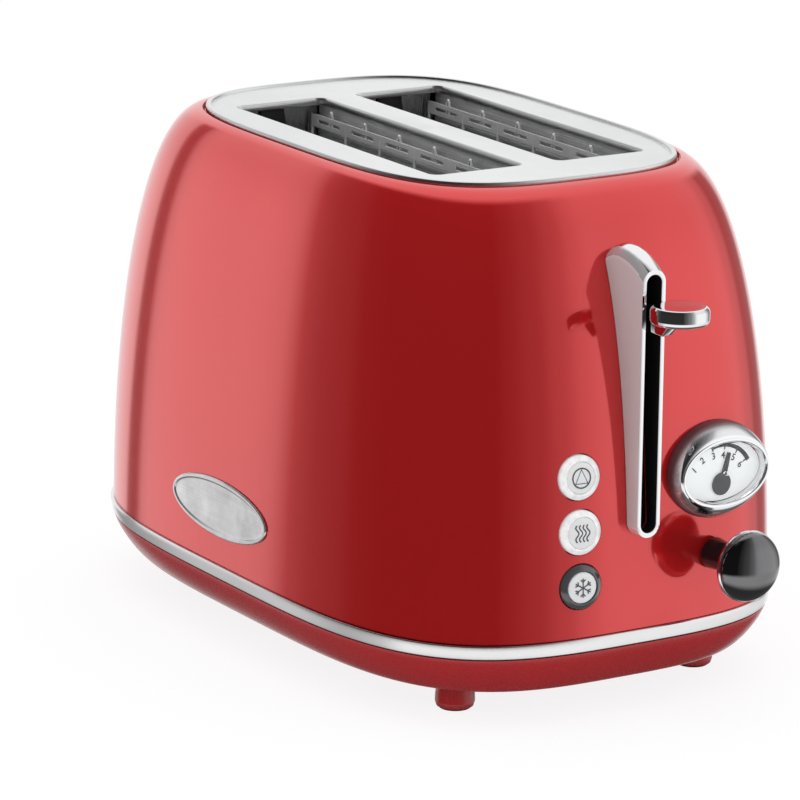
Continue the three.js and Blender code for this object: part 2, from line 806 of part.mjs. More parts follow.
function leverGuide() {
  const rings = guideSections.map(([behind, growth, rise]) =>
    stadiumRing(guideWidth + 2 * growth, guideLow - growth, guideHigh + rise, guideFace + behind));
  const slot = stadiumBar(guideSlotWidth, guideLow + guideRim, guideHigh - guideRim, guideFace - cutOverrun, 0);
  const guide = loft(rings.reverse()).subtract(slot).subtract(bodyVolume(seatGap));
  return piece("lever_guide", guide, finish.chrome);
}

function guideLiner() {
  const [low, high] = [guideLow + guideRim - linerClearance, guideHigh - guideRim + linerClearance];
  const inner = guideSlotWidth + 2 * linerClearance;
  const outer = stadiumBar(inner + 2 * linerWall, low - linerWall, high + linerWall, guideFace, -linerDepth);
  const hollow = stadiumBar(inner, low, high, guideFace - cutOverrun, cutOverrun - linerDepth);
  const liner = outer.subtract(hollow).intersect(bodyVolume(-shellWall - 2 * seatGap));
  return piece("guide_liner", liner, finish.blackPlastic);
}

function leverHandle() {
  const [low, high] = [handleTop - handleThickness, handleTop];
  const [r, e] = [handleRadius, handleRound];
  const disc = turned([[0, low], [r - e, low], [r - e * 0.3, low + e * 0.3], [r, low + e],
    [r, high - e], [r - e * 0.3, high - e * 0.3], [r - e, high], [0, high]], roundSides + smallSides);
  const at = new THREE.Matrix4().makeTranslation(0, handleY, 0);
  const back = handleY + neckLength;
  const [slantTop, slantFoot] = neckSlant.map((behind) => handleY + behind);
  const side = [[handleY, neckTop], [handleY, low], [slantTop, low], [slantFoot, neckLow], [back, neckLow],
    [back, neckTop]];
  const sideways = raised(side, -neckWidth / 2, neckWidth / 2);
  const turn = new THREE.Matrix4().makeBasis(
    new THREE.Vector3(0, 1, 0), new THREE.Vector3(0, 0, 1), new THREE.Vector3(1, 0, 0));
  const neck = placed(sideways, turn);
  const socket = block(about(0, armWidth + 2 * seatGap), [handleY + handleRadius, back + cutOverrun],
    about(armCentre, armHeight + 2 * seatGap));
  return piece("lever_handle", placed(disc, at).add(neck).subtract(socket), finish.chrome);
}

const sleeveRadius = railRadius + railClearance + sleeveWall;
const plateNear = railY - sleeveRadius - bracketSheet;
const keeperLength = (plateNear - boardY - boardSheet - keeperSheet) * keeperLengthShare;
const shelfLow = magnetTop + seatGap + leverTravel + keeperSheet + seatGap;

function carriageBracket() {
  const rail = new THREE.Matrix4().makeTranslation(0, railY, 0);
  const sleeve = placed(tube(railRadius + railClearance, sleeveRadius, sleeveLow, sleeveHigh, smallSides), rail);
  const plate = block(about(0, bracketWidth), [plateNear, plateNear + bracketSheet], [sleeveLow, sleeveHigh]);
  const web = block(about(0, bracketSheet), [plateNear, railY - railRadius - railClearance - sleeveWall / 2],
    [sleeveLow, sleeveHigh]);
  const riser = block(about(0, armWidth), [plateNear, plateNear + bracketSheet],
    [sleeveHigh - cutOverrun, armCentre + armHeight / 2]);
  const arm = block(about(0, armWidth), [handleY + handleRadius + seatGap, plateNear + bracketSheet],
    about(armCentre, armHeight));
  const ear = block(about(springX, earWidth), [plateNear, railY + springRadius],
    [sleeveHigh - bracketSheet, sleeveHigh]);
  const shelf = block(about(keeperX, keeperLength), [boardY + boardSheet + keeperSheet, plateNear + bracketSheet],
    [shelfLow, shelfLow + bracketSheet]);
  const made = [sleeve, web, riser, arm, ear, shelf].reduce((sum, next) => sum.add(next), plate);
  return piece("carriage_bracket", made, finish.sheetSteel);
}

function breadLifters() {
  return [["left", slotCentres[0]], ["right", slotCentres[1]]].map(([name, x]) => {
    const ends = [plateNear + bracketSheet + seatGap, endPlateOuter + lifterTail];
    let lifter = block(about(x, lifterWidth), ends, [lifterTop - lifterHeight, lifterTop]);
    const pitch = slotLength / lifterTabCount;
    for (let i = 0; i < lifterTabCount; i++) {
      const y = (i - (lifterTabCount - 1) / 2) * pitch;
      lifter = lifter.add(block(about(x, lifterTabWidth), about(y, lifterTabLength),
        [lifterTop - lifterWidth, lifterTop]));
    }
    return piece(`bread_lifter_${name}`, lifter, finish.sheetSteel);
  });
}

function latchKeeper() {
  const near = boardY + boardSheet + keeperSheet;
  const keeper = block(about(keeperX, keeperWidth), [near, near + keeperLength],
    [shelfLow - seatGap - keeperSheet, shelfLow - seatGap]);
  return piece("latch_keeper", keeper, finish.sheetSteel);
}

function latchMagnet() {
  const near = boardY + boardSheet + seatGap;
  const low = magnetTop - magnetHeight;
  const flange = keeperSheet;
  const core = block(about(keeperX, magnetCore), [near, near + keeperLength + flange], [low, magnetTop]);
  const coil = block(about(keeperX, magnetWidth - flange), [near + flange, near + keeperLength],
    [low + flange, magnetTop - flange]);
  const lowFlange = block(about(keeperX, magnetWidth), [near, near + keeperLength + flange], [low, low + flange]);
  const topFlange = block(about(keeperX, magnetWidth), [near, near + keeperLength + flange],
    [magnetTop - flange - seatGap, magnetTop - seatGap]);
  return piece("latch_magnet", core.add(coil).add(lowFlange).add(topFlange), finish.blackPlastic);
}

function guideRail() {
  const rail = new THREE.Matrix4().makeTranslation(0, railY, 0);
  return piece("guide_rail", placed(bar(railRadius, floorTop + seatGap, railTop, smallSides), rail), finish.chrome);
}

function returnSpring() {
  const at = new THREE.Matrix4().makeTranslation(springX, railY, 0);
  const spring = tube(springRadius - springWall, springRadius, sleeveHigh + seatGap, tabTop - tabSheet - seatGap, smallSides);
  return piece("return_spring", placed(spring, at), finish.sheetSteel);
}

function controlBoard() {
  const half = boardWidth / 2;
  const notch = boardNotch / 2;
  const outline = [[-half, boardLow], [half, boardLow], [half, boardHigh], [notch, boardHigh], [notch, boardNotchLow],
    [-notch, boardNotchLow], [-notch, boardHigh], [-half, boardHigh]];
  return piece("control_board", upright(outline, boardY, boardY + boardSheet), finish.board);
}

/** Distance from a point on the shell straight back to the board. */
const toBoard = (frame) => boardY - new THREE.Vector3().setFromMatrixPosition(frame).y;

/** Depth at which a round case of a radius, turned by a yaw in degrees, clears the board. */
const caseDepth = (frame, yaw, radius) =>
  toBoard(frame) / cos(radians(yaw)) - radius * Math.tan(radians(yaw)) - seatGap;

function pushButtons() {
  return buttonNames.flatMap((name, i) => {
    const frame = buttonFrames[i];
    const inner = buttonRadius - buttonRing;
    const edge = buttonRing / 4;
    const outerProfile = [[0, -buttonDepth], [buttonRadius, -buttonDepth], [buttonRadius, buttonProud - edge],
      [buttonRadius - edge, buttonProud], [0, buttonProud]];
    const ring = turned(outerProfile).subtract(bar(inner, -buttonDepth - cutOverrun, buttonProud + cutOverrun));
    const face = buttonProud + buttonCapProud;
    const stemEnd = switchDepth + buttonTravel + 2 * seatGap - toBoard(frame);
    const capRadius = inner - seatGap;
    const cap = turned([[0, stemEnd], [buttonStem, stemEnd], [buttonStem, -buttonDepth / 2], [capRadius, -buttonDepth / 2],
      [capRadius, face - edge], [capRadius - edge, face], [0, face]]);
    const grey = i === buttonNames.length - 1;
    const direction = new THREE.Vector3().setFromMatrixColumn(frame, 2);
    const base = new THREE.Vector3().setFromMatrixPosition(frame);
    const reach = (boardY - base.y) / direction.y;
    const at = base.addScaledVector(direction, reach);
    const box = block(about(at.x, switchSize), [boardY - seatGap - switchDepth + switchStem, boardY - seatGap],
      about(at.z, switchSize));
    const plunger = new THREE.Matrix4().makeRotationX(PI / 2).setPosition(at.x, boardY - seatGap, at.z);
    const knob = placed(bar(switchStem, switchStem / 2, switchDepth, smallSides), plunger);
    return [
      piece(`button_ring_${name}`, placed(ring, frame), grey ? finish.greyPlastic : finish.clearPlastic),
      piece(`button_cap_${name}`, placed(cap, frame), finish.whitePlastic),
      piece(`switch_${name}`, box.add(knob), finish.blackPlastic),
    ];
  });
}

function gauge() {
  const levels = [[-gaugeRoot, 0], [0, 0], ...gaugeBulgeShares.map(([out, share]) => [out * gaugeDepth, share]),
    [gaugeDepth, 1]];
  const outer = levels.map(([z, share]) =>
    ovalRing(gaugeFoot.map((foot, i) => mix(foot, gaugeEdge[i], share)), z));
  const mouth = grown(gaugeEdge, -gaugeLip);
  const inner = [ovalRing(mouth, gaugeDepth), ovalRing(mouth, -gaugeRoot)];
  const bezel = placed(loft([...outer, ...inner], true), gaugeFrame).subtract(bodyVolume(seatGap));
  const fitted = grown(mouth, -seatGap);
  const hub = new THREE.Matrix4().makeTranslation(hubX, hubY, 0);
  const needleBore = needleShaft + seatGap;
  const dial = loft([ovalRing(fitted, dialBack), ovalRing(fitted, dialBack + dialSheet)])
    .subtract(placed(bar(needleBore, 0, gaugeDepth, smallSides), hub));
  const lensFront = lensBack + lensEdge;
  const lens = loft([ovalRing(fitted, lensBack), ovalRing(fitted, lensFront),
    ovalRing(fitted.map((half) => half * 0.8), lensFront + lensDome * 0.36),
    ovalRing(fitted.map((half) => half * 0.4), lensFront + lensDome * 0.84)]);
  const low = dialBack + dialSheet + seatGap;
  const pointer = raised([[-needleWidth / 2, 0], [needleWidth / 2, 0], [needleTip / 2, needleLength], [-needleTip / 2, needleLength]],
    low, low + needleSheet);
  const aim = new THREE.Matrix4().makeRotationZ(radians(-needleAngle));
  const needle = placed(pointer, aim).add(bar(hubRadius, low, low + needleSheet, smallSides))
    .add(bar(needleShaft, -gaugeRoot, low + needleSheet, smallSides));
  const movementBack = caseDepth(gaugeFrame, gaugeYaw, movementRadius);
  const movement = placed(bar(movementRadius, -movementBack, dialBack - seatGap), hub)
    .subtract(placed(bar(needleBore, -gaugeRoot - seatGap, gaugeDepth, smallSides), hub));
  const keep = loft([ovalRing(fitted, -movementBack - cutOverrun), ovalRing(fitted, gaugeDepth)]);
  return [
    piece("gauge_bezel", bezel, finish.chrome),
    piece("gauge_dial", placed(dial, gaugeFrame), finish.whitePlastic),
    piece("gauge_lens", placed(lens, gaugeFrame), finish.glass),
    piece("gauge_needle", placed(placed(needle, hub), gaugeFrame), finish.darkInk),
    piece("gauge_movement", placed(movement.intersect(keep), gaugeFrame), finish.blackPlastic),
  ];
}

function browningKnob() {
  const rimTop = knobReach - knobDomeHeight;
  const rimLow = rimTop - knobRimHeight;
  const rimInner = knobRadius - knobRimWall;
  const rimEdge = knobRimWall / 3;
  const rimOutside = [[0, rimLow], [knobRadius - 2 * rimEdge, rimLow], [knobRadius, rimLow + 2 * rimEdge],
    [knobRadius, rimTop - rimEdge], [knobRadius - rimEdge, rimTop], [0, rimTop]];
  const rim = turned(rimOutside).subtract(bar(rimInner, rimLow - cutOverrun, rimTop + cutOverrun));
  const domeLow = rimTop + seatGap;
  const domeRadius = knobRadius - rimEdge;
  const domeSteps = 6;
  const domeCurve = Array.from({ length: domeSteps + 1 }, (_, i) => {
    const angle = (PI / 2) * (i / domeSteps);
    return [domeRadius * cos(angle), domeLow + rimEdge + (knobReach - domeLow - rimEdge) * sin(angle)];
  });
  domeCurve[domeSteps][0] = 0;
  const spigot = rimInner - seatGap;
  const dome = turned([[0, rimLow], [spigot, rimLow], [spigot, domeLow], [domeRadius, domeLow], ...domeCurve]);
  const neckEnd = rimLow - seatGap;
  const stem = turned([[0, -knobShaftDepth], [knobShaftRadius, -knobShaftDepth], [knobShaftRadius, knobNeckStart],
    [knobNeckRadius, knobNeckStart], [knobNeckWaist, neckEnd / 2], [knobNeckRadius, neckEnd], [0, neckEnd]]);
  const potBack = caseDepth(knobFrame, knobYaw, potRadius);
  const pot = turned([[0, -potBack], [potRadius, -potBack], [potRadius, -potFront], [potBush, -potFront],
    [potBush, -potBushFront], [0, -potBushFront]])
    .subtract(bar(knobShaftRadius + seatGap, -knobShaftDepth - seatGap, 0));
  return [
    piece("knob_rim", placed(rim, knobFrame), finish.chrome),
    piece("knob_dome", placed(dome, knobFrame), finish.blackGloss),
    piece("knob_stem", placed(stem, knobFrame), finish.blackPlastic),
    piece("potentiometer", placed(pot, knobFrame), finish.blackPlastic),
  ];
}

function badge() {
  const half = [badgeHeight / 2, badgeLength / 2];
  const oval = loft([ovalRing(half, 0), ovalRing(half, bandWidth)]);
  const side = new THREE.Matrix4().makeBasis(
    new THREE.Vector3(0, 0, 1), new THREE.Vector3(0, 1, 0), new THREE.Vector3(-1, 0, 0));
  const prism = placed(oval, side.setPosition(0, badgeY, badgeZ));
  const made = prism.intersect(bodyVolume(seatGap + badgeSheet)).subtract(bodyVolume(seatGap));
  return piece("badge", made, finish.satinSteel);
}

function crumbTray() {
  const [low, high] = [floorTop + seatGap, floorTop + seatGap + trayWallHeight];
  const back = bandHalf[1] - seatGap;
  const outer = block(about(0, trayWidth), [trayFront, back], [low, high])
    .intersect(loft(baseRings(baseSteps, -baseWall / 2, baseBottom)));
  const inner = block(about(0, trayWidth - 2 * sheet), [trayFront + sheet, back], [low + sheet, high + cutOverrun])
    .intersect(loft(baseRings(baseSteps, -baseWall, baseBottom)));
  const wall = baseBowl().intersect(trayRoom(seatGap));
  const lip = high - trayLip;
  const grip = block(about(0, trayGrip), [baseHalf[1] + baseWall, back], [lip, lip + 2 * sheet]);
  return piece("crumb_tray", outer.subtract(inner).add(wall).add(grip), finish.redPlastic);
}

function baseScrews() {
  const spots = [["front_left", -1, -1], ["front_right", 1, -1], ["rear_left", -1, 1], ["rear_right", 1, 1]];
  const low = baseBottom + seatGap;
  return spots.map(([name, sx, sy]) => {
    const at = new THREE.Matrix4().makeTranslation(sx * screwX, sy * screwY, 0);
    const screw = bar(screwHead, low, low + screwHeadHeight, smallSides)
      .add(bar(screwShank, low, screwTop, smallSides));
    return piece(`base_screw_${name}`, placed(screw, at), finish.sheetSteel);
  });
}

function cordGland() {
  const proud = seatGap + shellWall / 2;
  const gland = turned([[0, -glandDepth], [glandRadius, -glandDepth], [glandRadius, proud], [glandFlange, proud],
    [glandFlange, glandCollar - proud], [glandRadius, glandCollar], [glandTip, glandProud], [0, glandProud]]);
  const bore = bar(glandBore, -glandDepth - cutOverrun, glandProud + cutOverrun);
  return piece("cord_gland", placed(gland.subtract(bore), glandFrame), finish.blackPlastic);
}

/** Y of the cord gland's outer end, which is the rear end of the toaster. */
function glandEnd() {
  const out = new THREE.Vector3().setFromMatrixColumn(glandFrame, 2);
  const foot = new THREE.Vector3().setFromMatrixPosition(glandFrame);
  return foot.y + glandProud * out.y + glandTip * Math.hypot(out.x, out.z);
}

const toaster = new THREE.Group();
toaster.add(
  bodyShell(), topPlate(), baseBand(), basePan(), ...feet(), badge(),
  frontPlate(), rearPlate(), ...heatShields(), ...heaters(), ...breadGuards(),
  leverGuide(), guideLiner(), leverHandle(), carriageBracket(), ...breadLifters(), latchKeeper(), latchMagnet(),
  guideRail(), returnSpring(), controlBoard(), ...pushButtons(), ...gauge(), ...browningKnob(),
  crumbTray(), ...baseScrews(), cordGland(),
);
toaster.position.y = (handleRadius - handleY - glandEnd()) / 2;

export default toaster;
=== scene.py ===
"""A two-slice toaster, dressed in its finished surfaces over its solid model.

Metres, +Z up, the controls face -Y. Sizes in the classes are millimetres from the middle of the band.
"""

import logging
import math
from collections.abc import Callable
from dataclasses import dataclass
from enum import Enum

import bmesh
import bpy
from mathutils import Matrix, Vector


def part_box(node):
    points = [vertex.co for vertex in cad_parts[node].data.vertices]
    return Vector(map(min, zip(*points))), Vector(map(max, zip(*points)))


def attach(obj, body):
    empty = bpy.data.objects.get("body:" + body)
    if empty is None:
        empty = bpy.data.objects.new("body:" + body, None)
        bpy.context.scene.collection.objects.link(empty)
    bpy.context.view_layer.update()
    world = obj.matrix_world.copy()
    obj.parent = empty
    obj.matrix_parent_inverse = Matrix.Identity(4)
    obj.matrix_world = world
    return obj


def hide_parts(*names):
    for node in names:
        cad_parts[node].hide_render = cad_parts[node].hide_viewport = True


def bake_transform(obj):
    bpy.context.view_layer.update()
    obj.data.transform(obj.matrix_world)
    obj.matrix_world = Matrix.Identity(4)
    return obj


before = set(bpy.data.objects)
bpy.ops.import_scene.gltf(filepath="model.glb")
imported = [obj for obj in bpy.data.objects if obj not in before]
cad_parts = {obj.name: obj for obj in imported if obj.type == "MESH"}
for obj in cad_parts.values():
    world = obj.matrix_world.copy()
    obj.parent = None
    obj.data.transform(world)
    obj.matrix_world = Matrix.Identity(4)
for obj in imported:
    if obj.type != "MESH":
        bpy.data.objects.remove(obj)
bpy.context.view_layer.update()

logging.basicConfig(level=logging.INFO, format="%(message)s")
log = logging.getLogger("toaster")

MM = 0.001
band_low, band_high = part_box("base_band")
MIDDLE = Matrix.Translation(Vector((0.0, (band_low.y + band_high.y) / 2, 0.0)))

Pair = tuple[float, float]
Triple = tuple[float, float, float]

SIDES = ("left", "right")


# Modelling helpers


def clear_selection() -> None:
    """Deselects every object and leaves edit mode."""
    if bpy.context.object is not None and bpy.context.object.mode != "OBJECT":
        bpy.ops.object.mode_set(mode="OBJECT")
    bpy.ops.object.select_all(action="DESELECT")


def choose(*pieces: bpy.types.Object) -> None:
    """Selects only these pieces, the first one active.

    Args:
        pieces: The pieces to select.
    """
    clear_selection()
    for piece in pieces:
        piece.select_set(True)
    bpy.context.view_layer.objects.active = pieces[0]


def fix_place(piece: bpy.types.Object, place: Matrix = Matrix.Identity(4)) -> bpy.types.Object:
    """Moves a piece to a place and writes the place into its mesh.

    Args:
        piece: The piece.
        place: Where its own origin goes, in metres.

    Returns:
        The same piece, at the origin.
    """
    choose(piece)
    piece.matrix_world = place @ piece.matrix_world
    bpy.ops.object.transform_apply(location=True, rotation=True, scale=True)
    return piece


def turn_faces_out(piece: bpy.types.Object, weld: float = 0.0) -> None:
    """Points the faces outwards, after doubles are merged.

    Args:
        piece: The piece.
        weld: Distance in metres under which vertices are merged.
    """
    choose(piece)
    bpy.ops.object.mode_set(mode="EDIT")
    bpy.ops.mesh.select_all(action="SELECT")
    if weld:
        bpy.ops.mesh.remove_doubles(threshold=weld)
    bpy.ops.mesh.normals_make_consistent(inside=False)
    bpy.ops.object.mode_set(mode="OBJECT")


def smooth(piece: bpy.types.Object, degrees: float = 35.0) -> bpy.types.Object:
    """Shades a piece smooth up to an angle."""
    choose(piece)
    bpy.ops.object.shade_smooth_by_angle(angle=math.radians(degrees))
    return piece


def apply_modifier(piece: bpy.types.Object, kind: str, **settings: object) -> None:
    """Adds one modifier with its settings and applies it.

    Args:
        piece: The piece it works on.
        kind: The modifier's type.
        settings: Its properties.
    """
    choose(piece)
    modifier = piece.modifiers.new(kind.title(), kind)
    for key, value in settings.items():
        setattr(modifier, key, value)
    bpy.ops.object.modifier_apply(modifier=modifier.name)


def bevel(piece: bpy.types.Object, width: float, segments: int = 3, degrees: float = 35.0) -> None:
    """Rounds the edges that are sharper than an angle.

    Args:
        piece: The piece.
        width: Width in millimetres.
        segments: Steps of each rounding.
        degrees: Least angle between two faces that is rounded.
    """
    apply_modifier(piece, "BEVEL", width=width * MM, segments=segments, limit_method="ANGLE",
                   angle_limit=math.radians(degrees), harden_normals=False, use_clamp_overlap=True)


def boolean(piece: bpy.types.Object, tool: bpy.types.Object, how: str = "DIFFERENCE") -> None:
    """Cuts a piece with a tool, which is used up.

    Args:
        piece: The piece.
        tool: The closed cutter.
        how: DIFFERENCE, INTERSECT or UNION.
    """
    apply_modifier(piece, "BOOLEAN", object=tool, operation=how, solver="EXACT")
    discard(tool)


def bevel_chosen(piece: bpy.types.Object, wanted: Callable[[bmesh.types.BMEdge], bool], width: float,
                 segments: int) -> None:
    """Rounds the edges that a test picks out.

    Args:
        piece: The piece.
        wanted: Tells whether an edge is rounded.
        width: Width in millimetres.
        segments: Steps of each rounding.
    """
    choose(piece)
    bpy.ops.object.mode_set(mode="EDIT")
    bpy.ops.mesh.select_mode(type="EDGE")
    mesh = bmesh.from_edit_mesh(piece.data)
    for edge in mesh.edges:
        edge.select_set(wanted(edge))
    bmesh.update_edit_mesh(piece.data)
    bpy.ops.mesh.bevel(offset=width * MM, segments=segments, affect="EDGES")
    bpy.ops.object.mode_set(mode="OBJECT")


def round_upright(piece: bpy.types.Object, radius: float) -> None:
    """Rounds the four upright edges of a block."""
    bevel_chosen(piece, lambda edge: (edge.verts[0].co - edge.verts[1].co).xy.length < 1e-7, radius, 8)


def join(*pieces: bpy.types.Object, name: str = "") -> bpy.types.Object:
    """Joins pieces into the first one, which can get a new name."""
    choose(*pieces)
    bpy.ops.object.join()
    pieces[0].name = name or pieces[0].name
    return pieces[0]


def joined_tool(pieces: list[bpy.types.Object]) -> bpy.types.Object:
    """Joins closed cutters, their faces out, into one tool."""
    for piece in pieces:
        turn_faces_out(piece)
    return join(*pieces)


def named(piece: bpy.types.Object, name: str) -> bpy.types.Object:
    """Names a piece and its mesh."""
    piece.name = piece.data.name = name
    return piece


def copied(piece: bpy.types.Object, name: str) -> bpy.types.Object:
    """Copies a piece with a mesh of its own.

    Args:
        piece: The piece.
        name: The copy's name.

    Returns:
        The copy.
    """
    copy = piece.copy()
    copy.data = piece.data.copy()
    bpy.context.scene.collection.objects.link(copy)
    return named(copy, name)


def discard(*pieces: bpy.types.Object) -> None:
    """Deletes pieces with their meshes."""
    for piece in pieces:
        bpy.data.meshes.remove(piece.data)


def flatten(piece: bpy.types.Object, height: float, share: float) -> None:
    """Presses a piece to a share of its thickness, towards a height in millimetres."""
    for vertex in piece.data.vertices:
        vertex.co.z = height * MM + (vertex.co.z - height * MM) * share


def shift(x: float, y: float, z: float = 0.0) -> Matrix:
    """Move by millimetres."""
    return Matrix.Translation(Vector((x, y, z)) * MM)


def softened(corners: list[Triple], steps: int = 4, looped: bool = False) -> list[Pair]:
    """Rounds the corners of a profile.

    Args:
        corners: Points as (across, up, radius), in millimetres.
        steps: Steps of each rounding.
        looped: True if the profile closes on itself; its first point is then repeated at the end.

    Returns:
        The points of the rounded profile.
    """
    points: list[Pair] = []
    count = len(corners)
    for i, (x, y, radius) in enumerate(corners):
        here = Vector((x, y))
        if radius <= 0 or (not looped and i in (0, count - 1)):
            points.append((x, y))
            continue
        before = Vector(corners[i - 1][:2]) - here
        after = Vector(corners[(i + 1) % count][:2]) - here
        half = before.angle(after) / 2
        reach = min(radius / math.tan(half), before.length * 0.48, after.length * 0.48)
        centre = here + (before.normalized() + after.normalized()).normalized() * (reach / math.cos(half))
        start = here + before.normalized() * reach - centre
        end = here + after.normalized() * reach - centre
        sweep = math.atan2(start.x * end.y - start.y * end.x, start.dot(end))
        for k in range(steps + 1):
            turn = Matrix.Rotation(sweep * k / steps, 2)
            point = centre + turn @ start
            points.append((point.x, point.y))
    if looped:
        points.append(points[0])
    return points


def round_outline(sides: int) -> list[Pair]:
    """Points of a unit circle."""
    return [(math.cos(2 * math.pi * i / sides), math.sin(2 * math.pi * i / sides)) for i in range(sides)]


def ring_stack(name: str, outline: list[Pair], rings: list[Triple],
               closed: tuple[bool, bool] = (True, True), looped: bool = False) -> bpy.types.Object:
    """Draws a skin up through level rings, each extruded from the last and resized.

    Args:
        name: The piece's name.
        outline: Unit outline that every ring follows.
        rings: Half width, half length and height of each ring, in millimetres.
        closed: Whether the first and the last ring get a cap.
        looped: True if the last ring meets the first.

    Returns:
        The piece, with its faces out.
    """
    clear_selection()
    bpy.ops.mesh.primitive_circle_add(vertices=len(outline), radius=1.0, fill_type="NOTHING")
    piece = named(bpy.context.object, name)
    here = rings[0]
    for vertex, (u, v) in zip(piece.data.vertices, outline):
        vertex.co = (u * here[0] * MM, v * here[1] * MM, here[2] * MM)
    bpy.ops.object.mode_set(mode="EDIT")
    bpy.ops.mesh.select_mode(type="EDGE")
    bpy.ops.mesh.select_all(action="SELECT")
    if closed[0] and not looped:
        bpy.ops.mesh.edge_face_add()
        bpy.ops.mesh.select_all(action="SELECT")
        bpy.ops.mesh.select_mode(type="EDGE")
    first = True
    for ring in rings[1:]:
        lift = {"value": (0.0, 0.0, (ring[2] - here[2]) * MM)}
        if first and closed[0] and not looped:
            bpy.ops.mesh.extrude_edges_move(TRANSFORM_OT_translate=lift)
        else:
            bpy.ops.mesh.extrude_region_move(TRANSFORM_OT_translate=lift)
        first = False
        bpy.ops.transform.resize(value=(ring[0] / here[0], ring[1] / here[1], 1.0),
                                 center_override=(0.0, 0.0, 0.0))
        here = ring
    if closed[1] and not looped:
        bpy.ops.mesh.edge_face_add()
    bpy.ops.object.mode_set(mode="OBJECT")
    turn_faces_out(piece, weld=0.0005 * MM if not looped else 0.004 * MM)
    return piece


def turned(name: str, profile: list[Pair], sides: int = 64,
           closed: tuple[bool, bool] = (True, True), looped: bool = False) -> bpy.types.Object:
    """Makes a round piece about +Z from (radius, height) points.

    Args:
        name: The piece's name.
        profile: Points from one end to the other, in millimetres.
        sides: Points round it.
        closed: Whether the ends get a cap.
        looped: True if the profile closes on itself.

    Returns:
        The piece.
    """
    rings = [(max(radius, 0.02), max(radius, 0.02), height) for radius, height in profile]
    return ring_stack(name, round_outline(sides), rings, closed, looped)


def oval_rings(half: Pair, profile: list[Pair]) -> list[Triple]:
    """Rings of an outline grown by the profile's (distance, height) points."""
    return [(half[0] + grow, half[1] + grow, height) for grow, height in profile]


def block(name: str, low: Triple, high: Triple) -> bpy.types.Object:
    """Makes a block between two corners in millimetres, ready to be shaped."""
    clear_selection()
    centre = [(a + b) / 2 * MM for a, b in zip(low, high)]
    bpy.ops.mesh.primitive_cube_add(size=1.0, location=centre)
    piece = named(bpy.context.object, name)
    piece.scale = [(b - a) * MM for a, b in zip(low, high)]
    bpy.ops.object.transform_apply(location=True, rotation=True, scale=True)
    return piece


def stadium(name: str, width: float, low: float, high: float, near: float, far: float,
            sides: int = 48) -> bpy.types.Object:
    """Makes an upright slot-shaped bar along Y: a cylinder whose upper half is drawn up.

    Args:
        name: The piece's name.
        width: Its width in millimetres.
        low: Its lowest point.
        high: Its highest point.
        near: Where it starts along Y.
        far: Where it ends along Y.
        sides: Points round it.

    Returns:
        The bar.
    """
    clear_selection()
    radius = width / 2
    bpy.ops.mesh.primitive_cylinder_add(vertices=sides, radius=radius * MM, depth=abs(far - near) * MM,
                                        rotation=(math.pi / 2, 0.0, 0.0),
                                        location=(0.0, (near + far) / 2 * MM, (low + radius) * MM))
    piece = named(bpy.context.object, name)
    bpy.ops.object.transform_apply(location=True, rotation=True, scale=True)
    bpy.ops.object.mode_set(mode="EDIT")
    bpy.ops.mesh.select_mode(type="VERT")
    mesh = bmesh.from_edit_mesh(piece.data)
    for vertex in mesh.verts:
        vertex.select_set(vertex.co.z > (low + radius + 0.01) * MM)
    mesh.select_flush_mode()
    bmesh.update_edit_mesh(piece.data)
    bpy.ops.transform.translate(value=(0.0, 0.0, (high - low - width) * MM))
    bpy.ops.object.mode_set(mode="OBJECT")
    return piece


def wire(name: str, points: list[Triple], radius: float, smoothed: bool = False,
         cyclic: bool = False, sides: int = 3) -> bpy.types.Object:
    """Bends a round wire through points.

    Args:
        name: The piece's name.
        points: Millimetres.
        radius: The wire's radius in millimetres.
        smoothed: True for a smooth curve through the points.
        cyclic: True for a closed loop.
        sides: Resolution of the section.

    Returns:
        The wire as a mesh.
    """
    curve = bpy.data.curves.new(name, "CURVE")
    curve.dimensions = "3D"
    curve.bevel_depth = radius * MM
    curve.bevel_resolution = sides
    curve.resolution_u = 6
    curve.use_fill_caps = True
    spline = curve.splines.new("BEZIER" if smoothed else "POLY")
    if smoothed:
        spline.bezier_points.add(len(points) - 1)
        for knot, point in zip(spline.bezier_points, points):
            knot.co = [value * MM for value in point]
            knot.handle_left_type = knot.handle_right_type = "AUTO"
    else:
        spline.points.add(len(points) - 1)
        for knot, point in zip(spline.points, points):
            knot.co = [value * MM for value in point] + [1.0]
    spline.use_cyclic_u = cyclic
    piece = bpy.data.objects.new(name, curve)
    bpy.context.scene.collection.objects.link(piece)
    choose(piece)
    bpy.ops.object.convert(target="MESH")
    return smooth(bpy.context.object, 60.0)


# The body's form


